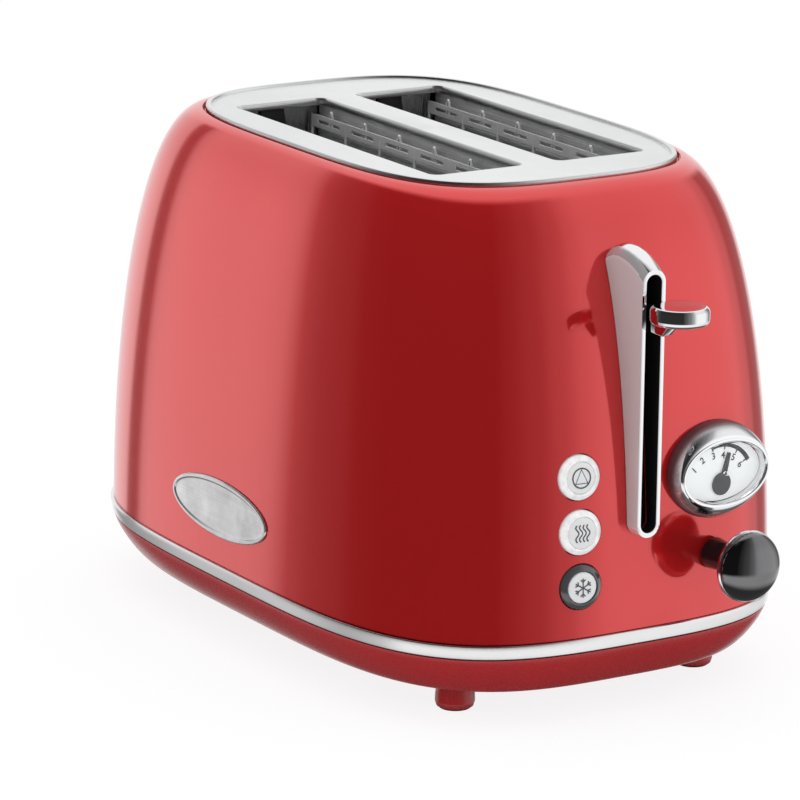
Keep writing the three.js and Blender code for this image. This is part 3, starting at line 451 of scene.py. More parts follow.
@dataclass(frozen=True)
class BodyForm:
    """The rounded form that shell, plate, band and base share, in millimetres."""

    band_half: Pair = (87.0, 133.5)
    shell_half: Pair = (86.0, 132.5)
    plate_half: Pair = (60.1, 94.6)
    side_power: float = 3.25
    end_power: float = 3.8
    draw_start: float = 22.0
    foot: float = 30.4
    crown: float = 178.6
    shoulder_power: float = 2.15
    mouth_gap: float = 1.0

    def outline(self, sides: int) -> list[Pair]:
        """Evenly spaced points of the unit plan outline."""
        fine = 8192
        places: list[Vector] = []
        for i in range(fine):
            angle = 2 * math.pi * i / fine
            across = math.copysign(abs(math.cos(angle)) ** (2 / self.side_power), math.cos(angle))
            along = math.copysign(abs(math.sin(angle)) ** (2 / self.end_power), math.sin(angle))
            places.append(Vector((across * self.band_half[0], along * self.band_half[1])))
        lengths = [0.0]
        for i in range(fine):
            lengths.append(lengths[-1] + (places[(i + 1) % fine] - places[i]).length)
        chosen: list[Pair] = []
        k = 0
        for i in range(sides):
            target = lengths[-1] * i / sides
            while lengths[k + 1] < target:
                k += 1
            share = (target - lengths[k]) / (lengths[k + 1] - lengths[k])
            point = places[k].lerp(places[(k + 1) % fine], share)
            chosen.append((point.x / self.band_half[0], point.y / self.band_half[1]))
        return chosen

    def half_at(self, height: float) -> Pair:
        """Half width and half length of the shell's outside at a height."""
        rise = min(1.0, max(0.0, (height - self.draw_start) / (self.crown - self.draw_start)))
        share = 1 - (1 - rise ** self.shoulder_power) ** (1 / self.shoulder_power)
        return tuple(a + (b - a) * share for a, b in zip(self.shell_half, self.plate_half))

    def end_y(self, x: float, height: float, end: int = -1) -> float:
        """Y of the shell's outside at the control end, or at the back for end 1."""
        wide, long = self.half_at(height)
        return end * long * (1 - abs(x / wide) ** self.side_power) ** (1 / self.end_power)

    def end_turn(self, x: float, height: float) -> Pair:
        """Yaw and pitch in degrees of the shell's normal at the control end."""
        step = 0.01
        across = (self.end_y(x + step, height) - self.end_y(x - step, height)) / (2 * step)
        up = (self.end_y(x, height + step) - self.end_y(x, height - step)) / (2 * step)
        return math.degrees(math.atan(across)), math.degrees(math.asin(up / Vector((across, 1, up)).length))

    def end_frame(self, x: float, height: float, yaw: float, pitch: float, end: int = -1) -> Matrix:
        """Place on the shell's end: X across, Y up, Z out, in metres.

        Args:
            x: Sideways place in millimetres.
            height: Height in millimetres.
            yaw: Turn of the outward axis in degrees.
            pitch: Tilt of the outward axis in degrees.
            end: -1 at the controls, 1 at the back.

        Returns:
            The place in the part's frame.
        """
        turn, tilt = math.radians(yaw), math.radians(pitch)
        out = Vector((math.sin(turn) * math.cos(tilt), end * math.cos(turn) * math.cos(tilt), math.sin(tilt)))
        across = Vector((-end * math.cos(turn), math.sin(turn), 0.0))
        up = out.cross(across)
        at = Vector((x, self.end_y(x, height, end), height)) * MM
        turned_place = Matrix((across, up, out)).transposed().to_4x4()
        return MIDDLE @ Matrix.Translation(at) @ turned_place

    def shell_rings(self, steps: int, grow: float = 0.0, top: float = 0.0, low: float = 0.0) -> list[Triple]:
        """Rings up the shell from its foot to its mouth.

        Args:
            steps: Number of steps.
            grow: Distance the form is grown by.
            top: Height of the crown, if it isn't the shell's own.
            low: Height of the first ring, if it isn't the shell's foot.

        Returns:
            The rings.
        """
        top = top or self.crown
        low = low or self.foot
        power = self.shoulder_power
        mouth = 1 - self.mouth_gap / (self.shell_half[0] - self.plate_half[0])
        start = math.asin(min(1.0, ((low - self.draw_start) / (top - self.draw_start)) ** (power / 2)))
        end = math.acos((1 - mouth) ** (power / 2))
        rings: list[Triple] = []
        for i in range(steps + 1):
            angle = start + (end - start) * i / steps
            rise = math.sin(angle) ** (2 / power)
            share = 1 - math.cos(angle) ** (2 / power)
            half = [a + (b - a) * share + grow for a, b in zip(self.shell_half, self.plate_half)]
            rings.append((half[0], half[1], self.draw_start + (top - self.draw_start) * rise))
        return rings


FORM = BodyForm()


# Finishes


class Shade(Enum):
    """Ways in which the grain of a finish can run."""

    EVEN = "even"
    BRUSHED_LONG = "brushed along Y"
    BRUSHED_UP = "brushed along Z"


def feed(tree: bpy.types.NodeTree, node: bpy.types.Node, values: dict[str | int, object]) -> bpy.types.Node:
    """Gives a node's inputs what feeds them: a socket is linked, and a colour gets its alpha.

    Args:
        tree: The tree it belongs to.
        node: The node.
        values: Sockets or values, by the input's name or number.

    Returns:
        The same node.
    """
    for key, value in values.items():
        socket = node.inputs[key]
        if isinstance(value, bpy.types.NodeSocket):
            tree.links.new(value, socket)
        else:
            socket.default_value = (*value, 1.0) if socket.type == "RGBA" else value
    return node


def add_node(tree: bpy.types.NodeTree, kind: str, values: dict[str | int, object] | None = None,
             **settings: object) -> bpy.types.Node:
    """Adds a shader node.

    Args:
        tree: The tree it joins.
        kind: Its type, without the ShaderNode in front.
        values: Sockets or values, by the input's name or number.
        settings: Its properties.

    Returns:
        The node.
    """
    node = tree.nodes.new(f"ShaderNode{kind}")
    for key, value in settings.items():
        setattr(node, key, value)
    return feed(tree, node, values or {})


def add_mix(tree: bpy.types.NodeTree, share: object, first: object, second: object, kind: str = "FLOAT") -> object:
    """Adds a mix of two sockets or values.

    Args:
        tree: The tree it joins.
        share: The share of the second.
        first: A socket or a value.
        second: A socket or a value.
        kind: FLOAT or RGBA.

    Returns:
        The mix's result.
    """
    low, high, result = (6, 7, 2) if kind == "RGBA" else (2, 3, 0)
    return add_node(tree, "Mix", {0: share, low: first, high: second}, data_type=kind).outputs[result]


@dataclass(frozen=True)
class NoiseGroup:
    """A shader group: a noise on Object coordinates, as a height and mapped to a range."""

    name: str
    result: str
    stretch: Triple = (1.0, 1.0, 1.0)
    detail: float = 3.0
    scale: float = 900.0
    low: float = 0.3
    high: float = 0.4
    noise_low: float = 0.3
    noise_high: float = 0.7

    def build(self) -> bpy.types.NodeTree:
        """Gives the group, made on the first call.

        Returns:
            The group, with the inputs Scale, Low and High.
        """
        tree = bpy.data.node_groups.get(self.name)
        if tree is not None:
            return tree
        tree = bpy.data.node_groups.new(self.name, "ShaderNodeTree")
        for label, value in (("Scale", self.scale), ("Low", self.low), ("High", self.high)):
            tree.interface.new_socket(label, in_out="INPUT", socket_type="NodeSocketFloat").default_value = value
        for label in ("Height", self.result):
            tree.interface.new_socket(label, in_out="OUTPUT", socket_type="NodeSocketFloat")
        given, made = tree.nodes.new("NodeGroupInput"), tree.nodes.new("NodeGroupOutput")
        where = add_node(tree, "TexCoord").outputs["Object"]
        mapping = add_node(tree, "Mapping", {"Vector": where, "Scale": self.stretch})
        noise = add_node(tree, "TexNoise", {"Vector": mapping.outputs["Vector"], "Scale": given.outputs["Scale"],
                                            "Detail": self.detail, "Roughness": 0.6}).outputs["Fac"]
        ranged = add_node(tree, "MapRange", {
            "Value": noise, "From Min": self.noise_low, "From Max": self.noise_high,
            "To Min": given.outputs["Low"], "To Max": given.outputs["High"]})
        feed(tree, made, {"Height": noise, self.result: ranged.outputs["Result"]})
        return tree

    def add(self, tree: bpy.types.NodeTree, scale: float, *span: float) -> bpy.types.Node:
        """Adds the group to a material.

        Args:
            tree: The material's nodes.
            scale: Frequency of the noise.
            span: Lowest and highest result, if they aren't the group's own.

        Returns:
            The group's node.
        """
        return add_node(tree, "Group", {"Scale": scale, **dict(zip(("Low", "High"), span))}, node_tree=self.build())


GRAINS = {
    Shade.EVEN: NoiseGroup("fine_grain", "Roughness", detail=6.0),
    Shade.BRUSHED_LONG: NoiseGroup("brush_along_y", "Roughness", (1.0, 0.012, 1.0)),
    Shade.BRUSHED_UP: NoiseGroup("brush_along_z", "Roughness", (1.0, 1.0, 0.012)),
}
FILM = NoiseGroup("handled_film", "Value", detail=4.0, scale=22.0, low=0.0, high=1.0)


@dataclass(frozen=True)
class Surface:
    """A finish with a material of its own."""

    name: str
    slot: str

    def build(self) -> bpy.types.Material:
        """Gives the finish's material, made on the first call."""
        made = bpy.data.materials.get(self.name)
        if made is None:
            made = bpy.data.materials.new(self.name)
            made.use_nodes = True
            self.lay(made.node_tree, made.node_tree.nodes["Principled BSDF"])
        return made

    def lay(self, tree: bpy.types.NodeTree, shader: bpy.types.Node) -> None:
        """Sets up the material's shader, as each kind of finish does in its own way."""
        raise NotImplementedError


@dataclass(frozen=True)
class Finish(Surface):
    """An opaque finish, as the values of its shader."""

    colour: Triple
    second: Triple
    metallic: float = 0.0
    roughness: Pair = (0.3, 0.4)
    coat: float = 0.0
    coat_roughness: float = 0.03
    shade: Shade = Shade.EVEN
    scale: float = 900.0
    relief: float = 0.03
    anisotropic: float = 0.0
    subsurface: float = 0.0
    # Emission in the finish's own colour: painted light, as none of these parts is a lamp.
    glow: float = 0.0
    specular: float = 0.5
    coat_ior: float = 1.5

    def lay(self, tree: bpy.types.NodeTree, shader: bpy.types.Node) -> None:
        """Sets the shader's values, and lays the grain, its relief and the second colour over them.

        Args:
            tree: The material's nodes.
            shader: Its Principled BSDF.
        """
        feed(tree, shader, {"Base Color": self.colour})
        grain = GRAINS[self.shade].add(tree, self.scale, *self.roughness)
        film = FILM.add(tree, max(18.0, self.scale / 30))
        bump = add_node(tree, "Bump", {"Strength": self.relief, "Distance": 0.0002, "Height": grain.outputs["Height"]})
        feed(tree, shader, {
            "Base Color": add_mix(tree, film.outputs["Value"], self.colour, self.second, "RGBA"),
            "Roughness": grain.outputs["Roughness"], "Normal": bump.outputs["Normal"], "Metallic": self.metallic,
            "Coat Weight": self.coat, "Coat Roughness": self.coat_roughness, "Coat IOR": self.coat_ior,
            "Specular IOR Level": self.specular, "Anisotropic": self.anisotropic})
        # Painted light: the finish glows in its own colour.
        if self.glow:
            feed(tree, shader, {"Emission Color": self.colour, "Emission Strength": self.glow})
        if self.subsurface:
            feed(tree, shader, {"Subsurface Weight": self.subsurface, "Subsurface Scale": 0.002})


RED_PAINT = Finish("red_enamel", "red_paint", (0.73, 0.020, 0.022), (0.71, 0.019, 0.021), 0.55, (0.12, 0.16), 0.52,
                   scale=260.0, relief=0.005, specular=0.1, coat_ior=2.1)
RED_PLASTIC = Finish("red_moulding", "red_plastic", (0.48, 0.020, 0.024), (0.45, 0.018, 0.022), 0.0, (0.24, 0.3), 0.1,
                     0.1, scale=1200.0, relief=0.02)
SATIN_STEEL = Finish("satin_steel_sheet", "satin_steel", (0.80, 0.805, 0.81), (0.77, 0.775, 0.78), 1.0, (0.27, 0.36),
                     shade=Shade.BRUSHED_LONG, scale=2600.0, relief=0.05, anisotropic=0.4)
BADGE_STEEL = Finish("badge_steel", "satin_steel", (0.76, 0.755, 0.76), (0.56, 0.555, 0.56), 0.85, (0.14, 0.22),
                     shade=Shade.BRUSHED_LONG, scale=2600.0, anisotropic=0.3)
BRIGHT_BAND = Finish("polished_band", "bright_band", (0.80, 0.80, 0.805), (0.77, 0.77, 0.775), 1.0, (0.14, 0.2),
                     shade=Shade.BRUSHED_LONG, scale=1800.0, relief=0.02)
CHROME = Finish("chrome_plate", "chrome", (0.83, 0.835, 0.85), (0.80, 0.805, 0.82), 1.0, (0.012, 0.03), scale=300.0,
                relief=0.003)
SHEET_STEEL = Finish("chassis_steel", "sheet_steel", (0.48, 0.485, 0.49), (0.40, 0.40, 0.41), 1.0, (0.2, 0.34),
                     shade=Shade.BRUSHED_UP, scale=1500.0, relief=0.06)
BRIGHT_WIRE = Finish("guard_wire", "sheet_steel", (0.90, 0.90, 0.905), (0.76, 0.76, 0.77), 0.5, (0.14, 0.24))
LINING_STEEL = Finish("slot_lining_steel", "sheet_steel", (0.68, 0.685, 0.695), (0.50, 0.505, 0.51), 0.4, (0.2, 0.32),
                      shade=Shade.BRUSHED_LONG, scale=1300.0, relief=0.05)
MICA = Finish("mica_board", "mica", (0.42, 0.36, 0.27), (0.30, 0.26, 0.20), 0.0, (0.5, 0.7), scale=500.0, relief=0.1)
WINDING = Finish("winding_ribbon", "mica", (0.36, 0.35, 0.34), (0.30, 0.28, 0.26), 1.0)
BLACK_PLASTIC = Finish("black_moulding", "black_plastic", (0.012, 0.012, 0.013), (0.016, 0.016, 0.017), 0.0,
                       (0.35, 0.5), scale=1500.0, relief=0.08)
BLACK_GLOSS = Finish("black_dome", "black_gloss", (0.17, 0.17, 0.175), (0.155, 0.155, 0.16), 1.0, (0.03, 0.045), 0.6,
                     0.02, scale=400.0, relief=0.001)
NECK_BLACK = Finish("neck_black", "black_plastic", (0.008, 0.008, 0.009), (0.011, 0.011, 0.012), 0.0, (0.12, 0.18),
                    relief=0.01)
RUBBER = Finish("foot_rubber", "rubber", (0.018, 0.018, 0.018), (0.03, 0.03, 0.03), 0.0, (0.7, 0.85), scale=1400.0,
                relief=0.15)
WHITE_PLASTIC = Finish("button_white", "white_plastic", (0.90, 0.91, 0.915), (0.88, 0.89, 0.895), 0.0, (0.15, 0.22),
                       0.6, 0.04, scale=700.0, relief=0.01, subsurface=0.15)
# The dial's glow is painted light, standing in for the light that the glass keeps from it.
DIAL_WHITE = Finish("dial_face", "white_plastic", (0.93, 0.94, 0.94), (0.90, 0.91, 0.91), 0.0, (0.3, 0.36),
                    scale=1600.0, relief=0.02, glow=0.33)
# The clear rings' glow is painted light that makes them look brighter.
CLEAR_PLASTIC = Finish("clear_button", "clear_plastic", (0.97, 0.975, 0.98), (0.70, 0.70, 0.71), 0.0, (0.03, 0.06),
                       1.0, 0.01, scale=12000.0, subsurface=0.1, glow=0.2)
GREY_PLASTIC = Finish("smoked_button", "grey_plastic", (0.055, 0.06, 0.064), (0.075, 0.08, 0.085), 0.0, (0.08, 0.14),
                      1.0, scale=500.0, relief=0.02)
INK = Finish("printed_ink", "dark_ink", (0.075, 0.078, 0.082), (0.09, 0.092, 0.096), 0.0, (0.4, 0.5), scale=1500.0,
             relief=0.02)
NEEDLE_GREY = Finish("needle_paint", "dark_ink", (0.085, 0.088, 0.09), (0.1, 0.103, 0.106), 0.0, (0.35, 0.45),
                     scale=1500.0)
BOARD_GREEN = Finish("board_lacquer", "board", (0.02, 0.12, 0.045), (0.03, 0.16, 0.06), 0.0, (0.25, 0.4), scale=700.0,
                     relief=0.05)


@dataclass(frozen=True)
class GlassFinish(Surface):
    """Clear glass that shows what lies behind it."""

    def lay(self, tree: bpy.types.NodeTree, shader: bpy.types.Node) -> None:
        """Makes the shader clear, with a faint film."""
        film = FILM.add(tree, 60.0, 0.0, 0.02)
        feed(tree, shader, {"Base Color": (0.97, 0.98, 0.98), "Transmission Weight": 1.0, "IOR": 1.2,
                            "Roughness": film.outputs["Value"]})


@dataclass(frozen=True)
class GuideFinish(Surface):
    """Chrome plate with a satin second colour where it is masked, which carries a painted reflection of the red shell,
    and black where it is marked as liner.
    """

    # The second colour: satin steel, tinted by a painted reflection of the red shell.
    satin: Triple
    bright: Triple = (0.86, 0.865, 0.88)
    liner: Triple = (0.012, 0.012, 0.013)

    def lay(self, tree: bpy.types.NodeTree, shader: bpy.types.Node) -> None:
        """Lays the satin colour with its painted reflection, and the black, over the chrome."""
        grain = GRAINS[Shade.EVEN].add(tree, 1400.0, 0.28, 0.34).outputs["Roughness"]
        colour, metal, rough = self.bright, 1.0, 0.05
        for label, tint, metallic, roughness in (("satin_and_painted_reflection_mask", self.satin, 0.35, grain), ("liner", self.liner, 0.0, 0.4)):
            mask = add_node(tree, "Attribute", attribute_name=label).outputs["Fac"]
            colour = add_mix(tree, mask, colour, tint, "RGBA")
            metal = add_mix(tree, mask, metal, metallic)
            rough = add_mix(tree, mask, rough, roughness)
        feed(tree, shader, {"Base Color": colour, "Metallic": metal, "Roughness": rough})


GLASS = GlassFinish("gauge_glass", "glass")
# The guide's pinkish satin cheeks: real satin steel, tinted pink by a painted reflection of the red shell.
GUIDE_PLATE = GuideFinish("guide_plate", "chrome", (0.82, 0.77, 0.785))
# The bezel's dark plum wall colour is a painted reflection of the red shell.
BEZEL_PLATE = GuideFinish("bezel_plate", "chrome", (0.13, 0.065, 0.072))


def mark_faces(piece: bpy.types.Object, label: str, share: Callable[[bpy.types.MeshPolygon], float]) -> None:
    """Writes a face attribute from 0 to 1, given for each face by a function."""
    marks = piece.data.attributes.new(label, "FLOAT", "FACE")
    for face in piece.data.polygons:
        marks.data[face.index].value = share(face)


def dress(piece: bpy.types.Object, finish: Surface) -> None:
    """Gives a piece its finish."""
    if not piece.data.materials:
        piece.data.materials.append(finish.build())
    for spot in piece.material_slots:
        spot.material = finish.build()


def place(piece: bpy.types.Object, at: Matrix | None, body: str, finish: Surface, *nodes: str,
          shading: float | None = 40.0) -> None:
    """Puts a piece in its place, dresses it, hangs it on its body and hides the solids it replaces.

    Args:
        piece: The piece.
        at: Where its own origin goes, or None if it is in place.
        body: The body it rides on.
        finish: Its finish.
        nodes: The solids it replaces.
        shading: Angle in degrees up to which it is shaded smooth, or None to keep its shading.
    """
    if at is not None:
        fix_place(piece, at)
    if shading is not None:
        smooth(piece, shading)
    dress(piece, finish)
    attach(piece, body)
    if nodes:
        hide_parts(*nodes)
    log.info("%s on %s, %d faces", piece.name, body, len(piece.data.polygons))


# The body


@dataclass
class Shell:
    """The painted shell, its cut-outs, and the badge on its side."""

    sides: int = 224
    steps: int = 46
    wall: float = 1.2
    flange: float = 5.0
    flange_top: float = 176.4
    button_hole: float = 8.15
    knob_hole: float = 3.6
    gauge_hole: float = 9.0
    gland_hole: float = 5.1
    badge_half: Pair = (33.0, 10.3)
    badge_at: Pair = (3.2, 50.8)

    def skin(self) -> bpy.types.Object:
        """Draws the whole shell with its lip, flange and inside, before it is cut.

        Returns:
            The closed skin.
        """
        outside = FORM.shell_rings(self.steps)
        wide, long, crown = outside[-1]
        lip = [(wide - 0.1, long - 0.1, crown - 0.12), (wide - 0.2, long - 0.2, crown - 0.4)]
        wide, long = FORM.plate_half
        flange = [(wide + 0.7, long + 0.9, self.flange_top + 0.2), (wide + 0.5, long + 0.7, self.flange_top)]
        under = self.flange_top - self.wall
        flange += oval_rings(FORM.plate_half, [(-self.flange, self.flange_top), (-self.flange, under)])
        inside = [ring for ring in FORM.shell_rings(14, -self.wall, FORM.crown - self.wall) if ring[2] < under - 0.2]
        rings = outside + lip + flange + inside[::-1] + outside[:1]
        return ring_stack("body_shell_skin", FORM.outline(self.sides), rings, looped=True)

    def cutters(self) -> bpy.types.Object:
        """Joins the cutters of the lever slot, buttons, gauge, knob and cord.

        Returns:
            The joined cutter.
        """
        holes = [(spot, self.button_hole, 8, 64) for spot in Buttons.frames()]
        holes += [(GAUGE_PLACE @ shift(*Gauge.hub), self.gauge_hole, 9, 64), (KNOB_PLACE, self.knob_hole, 9, 48),
                  (GLAND_PLACE, self.gland_hole, 9, 48)]
        made = [fix_place(stadium("slot_cut", 7.2, 64.5, 154.6, -150.0, -105.0), MIDDLE)]
        for spot, radius, reach, sides in holes:
            made.append(fix_place(turned("hole_cut", [(radius, -reach), (radius, reach)], sides), spot))
        return joined_tool(made)

    def build(self) -> None:
        """Makes the shell: the outside of the cut skin takes its shading from an uncut one."""
        rings = FORM.shell_rings(self.steps)
        whole = ring_stack("shell_outside", FORM.outline(self.sides), rings, closed=(False, False))
        smooth(fix_place(whole, MIDDLE), 180.0)
        shell = fix_place(self.skin(), MIDDLE)
        boolean(shell, self.cutters())
        smooth(shell, 40.0)
        outside = shell.vertex_groups.new(name="outside")
        outside.add([vertex.index for vertex in shell.data.vertices if self.on_outside(vertex.co)], 1.0, "REPLACE")
        apply_modifier(shell, "DATA_TRANSFER", object=whole, use_loop_data=True, vertex_group="outside",
                       data_types_loops={"CUSTOM_NORMAL"}, loop_mapping="POLYINTERP_NEAREST")
        discard(whole)
        place(shell, None, "chassis", RED_PAINT, "body_shell", shading=None)

    @staticmethod
    def on_outside(point: Vector) -> bool:
        """Tells whether a point of the skin lies on its outside, above the foot's edge."""
        x, y, z = ((MIDDLE.inverted() @ point) / MM).to_tuple()
        wide, long = FORM.half_at(z)
        reach = abs(x / wide) ** FORM.side_power + abs(y / long) ** FORM.end_power
        return reach > 0.985 and z > FORM.foot - 0.01

    def badge(self) -> None:
        """Makes the bare oval plate with its raised rim, laid on the shell's curve."""
        half = (self.badge_half[1], self.badge_half[0])
        profile = softened([(-3.0, 0.25, 0), (-1.9, 0.25, 0.5), (-1.2, 0.85, 0.4), (-0.5, 0.85, 0.4), (0.0, 0.3, 0.2),
                            (0.0, 0.0, 0)], 4)
        rings = oval_rings(half, profile[::-1])
        wide, long = rings[-1][:2]
        rings += [(wide * share, long * share, 0.25) for share in [1 - i / 7 for i in range(1, 7)] + [0.02]]
        plate = ring_stack("badge_plate", round_outline(96), rings)
        for vertex in plate.data.vertices:
            up, along, out = (value / MM for value in vertex.co)
            height, y = self.badge_at[1] + up, self.badge_at[0] + along
            wide, long = FORM.half_at(height)
            surface = wide * (1 - abs(y / long) ** FORM.end_power) ** (1 / FORM.side_power)
            vertex.co = Vector((-(surface + 0.15 + min(out, 0.62)), y, height)) * MM
        turn_faces_out(plate)
        place(plate, MIDDLE, "chassis", BADGE_STEEL, "badge", shading=50.0)


@dataclass
class TopPlate:
    """The steel plate with its rolled rim and the two bread slots with turned-in edges."""

    sheet_top: float = 179.2
    top: float = 180.0
    skirt: float = 176.7
    slot_half: Pair = (18.2, 67.5)
    slot_centres: Pair = (-25.0, 25.0)
    corner: float = 3.0
    collar: float = 0.75
    collar_low: float = 176.4
    collar_high: float = 178.3
    edge: float = 0.9

    def slot_block(self, name: str, centre: float, grow: float, low: float, high: float,
                   corner: float) -> bpy.types.Object:
        """Makes a block with round corners in the place of one slot.

        Args:
            name: The block's name.
            centre: The slot's middle along X in millimetres.
            grow: Distance by which it is larger than the slot.
            low: Its lowest height.
            high: Its highest height.
            corner: Radius of its corners.

        Returns:
            The block.
        """
        wide, long = self.slot_half
        made = block(name, (centre - wide - grow, -long - grow, low), (centre + wide + grow, long + grow, high))
        round_upright(made, corner)
        return made

    def is_slot_edge(self, edge: bmesh.types.BMEdge) -> bool:
        """Tells whether an edge of the plate runs round the top of a slot.

        Args:
            edge: The edge.

        Returns:
            True if it does.
        """
        wide, long = self.slot_half
        inside = all(abs(abs(v.co.x) / MM - self.slot_centres[1]) < wide + 0.05 and abs(v.co.y) / MM < long + 0.05
                     and abs(v.co.z / MM - self.sheet_top) < 0.02 for v in edge.verts)
        return inside and len(edge.link_faces) == 2 and edge.calc_face_angle(0) > 0.6

    def build(self) -> None:
        """Makes the plate with its rim and rolled slots, and the sheet that turns down inside each slot."""
        corners = [(-1.0, self.top - 1.8, 0), (-1.0, self.skirt, 0.3), (0.0, self.skirt, 0.35), (0.0, self.top, 0.85),
                   (-1.7, self.top, 0.8), (-1.9, self.sheet_top - 0.25, 0.3), (-3.2, self.sheet_top, 0.4),
                   (-4.2, self.sheet_top, 0)]
        rings = oval_rings(FORM.plate_half, softened(corners, 5))
        plate = ring_stack("top_plate_sheet", FORM.outline(192), rings)
        for centre in self.slot_centres:
            boolean(plate, self.slot_block("slot_cut", centre, 0.0, 150.0, 200.0, self.corner))
        bevel_chosen(plate, self.is_slot_edge, self.edge, 4)
        smooth(fix_place(plate, MIDDLE), 40.0)
        apply_modifier(plate, "WEIGHTED_NORMAL", keep_sharp=True, weight=80)
        place(plate, None, "chassis", SATIN_STEEL, "top_plate", shading=None)
        for side, centre in zip(SIDES, self.slot_centres):
            outer = self.slot_block(f"slot_collar_{side}", centre, self.collar, self.collar_low, self.collar_high,
                                    self.corner + self.collar)
            boolean(outer, self.slot_block("collar_cut", centre, 0.02, 160.0, 190.0, self.corner))
            bevel(outer, 0.2, 2, 60.0)
            place(outer, MIDDLE, "chassis", SATIN_STEEL)


@dataclass
class Base:
    """The bright band, the base bowl, the feet with their pads, and the crumb tray."""

    band_low: float = 25.1
    band_high: float = 30.1
    bottom: float = 10.6
    half: Pair = (76.7, 123.2)
    power: float = 1.28
    wall: float = 2.0
    foot_at: Pair = (49.3, 95.3)
    tray_wide: float = 44.3
    tray_high: float = 21.4
    screw_at: Pair = (50.0, 80.0)

    def screws(self) -> list[Matrix]:
        """Places of the four screws."""
        x, y = self.screw_at
        return [shift(across, along) for across in (-x, x) for along in (-y, y)]

    def band(self) -> None:
        """Makes the band, whose face leans out to its upper edge."""
        low, high = self.band_low, self.band_high
        corners = [(-5.0, low, 0.3), (-0.7, low, 0.5), (0.0, high, 0.35), (-5.0, high, 0.3)]
        rings = oval_rings(FORM.band_half, softened(corners, 4, looped=True))
        band = ring_stack("band_ring", FORM.outline(224), rings, looped=True)
        place(band, MIDDLE, "chassis", BRIGHT_BAND, "base_band", shading=50.0)

    def bowl_rings(self, steps: int, grow: float, floor: float) -> list[Triple]:
        """Rings of the bowl from its floor to its rim.

        Args:
            steps: Number of steps.
            grow: Distance the form is grown by.
            floor: Height of the floor.

        Returns:
            The rings, lowest first.
        """
        rim = self.band_low - 0.3
        rings: list[Triple] = []
        for i in range(steps + 1):
            angle = math.pi / 2 * (1 - i / steps)
            drop = math.sin(angle) ** (2 / self.power)
            share = 1 - max(0.0, math.cos(angle)) ** (2 / self.power)
            half = [a + (b - a) * share + grow for a, b in zip(FORM.shell_half, self.half)]
            rings.append((half[0], half[1], rim + (floor - rim) * drop))
        return rings

    def shell_of_bowl(self, name: str) -> bpy.types.Object:
        """Makes the bowl's wall and floor, open at the top."""
        outer = self.bowl_rings(20, 0.0, self.bottom)
        inner = self.bowl_rings(8, -self.wall, self.bottom + self.wall)[::-1]
        wide, long = outer[0][:2]
        floor, top = ([(wide * share, long * share, height) for share in shares] for shares, height in
                      (((0.02, 0.5, 0.9), self.bottom), ((0.9, 0.5, 0.02), self.bottom + self.wall)))
        return ring_stack(name, FORM.outline(192), floor + outer + inner + top)

    def bowl(self) -> None:
        """Makes the base bowl with the tray's opening, vents and screw wells."""
        bowl = self.shell_of_bowl("base_bowl")
        tools = [block("cut", (-44.6, 74, 12.6), (44.6, 140, self.tray_high))]
        for x in range(-27, 28, 9):
            for y in (-26, 26):
                tools.append(block("cut", (x - 1.5, y - 13, 5), (x + 1.5, y + 13, 20)))
                round_upright(tools[-1], 1.4)
        tools += [fix_place(turned("cut", [(3.7, 5.0), (3.7, 20.0)], 32), at) for at in self.screws()]
        boolean(bowl, joined_tool(tools))
        place(bowl, MIDDLE, "chassis", RED_PLASTIC, "base_pan")

    def bosses(self) -> None:
        """Makes the screw bosses and the posts that hold the board, which the bowl carries inside."""
        profile = softened([(3.75, 12.4, 0), (4.5, 12.4, 0), (4.5, 21.7, 0.4), (1.9, 21.7, 0.2), (1.9, 14.0, 0),
                            (3.75, 14.0, 0)], 3, looped=True)
        parts = [fix_place(turned("boss", profile, 32, looped=True), at) for at in self.screws()]
        for x in (-40, 40):
            post = block("post", (x - 4, -114.8, 12.2), (x + 4, -106.8, 34))
            boolean(post, block("cut", (x - 9, -111.9, 29.7), (x + 9, -109.7, 40)))
            bevel(post, 0.4, 2)
            parts.append(post)
        place(join(*parts, name="base_bosses"), MIDDLE, "chassis", RED_PLASTIC)

    def feet(self) -> None:
        """Makes one foot and one pad, and copies them to the four corners."""
        foot = turned("foot", softened([(6.0, 2.3, 0), (6.0, 0.8, 0.2), (6.4, 0.8, 0.3), (6.95, 2.6, 1.2),
                                        (6.8, 5.5, 3.0), (6.4, 8.0, 2.0), (6.6, 10.3, 0)], 5), 64)
        pad = turned("pad", softened([(0.02, 0.0, 0), (5.6, 0.0, 0.5), (5.6, 2.0, 0.2), (0.02, 2.0, 0)], 4), 48)
        for end, y in (("front", -self.foot_at[1]), ("rear", self.foot_at[1])):
            for side, x in zip(SIDES, (-self.foot_at[0], self.foot_at[0])):
                at, corner = MIDDLE @ shift(x, y), f"{end}_{side}"
                place(copied(foot, f"foot_moulding_{corner}"), at, "chassis", RED_PLASTIC, f"foot_{corner}")
                place(copied(pad, f"foot_rubber_{corner}"), at, "chassis", RUBBER, f"foot_pad_{corner}")
        discard(foot, pad)

    def trim(self, piece: bpy.types.Object, grow: float) -> None:
        """Trims a piece to the bowl's form, grown by a distance."""
        boolean(piece, ring_stack("room", FORM.outline(96), self.bowl_rings(14, grow, self.bottom)), "INTERSECT")

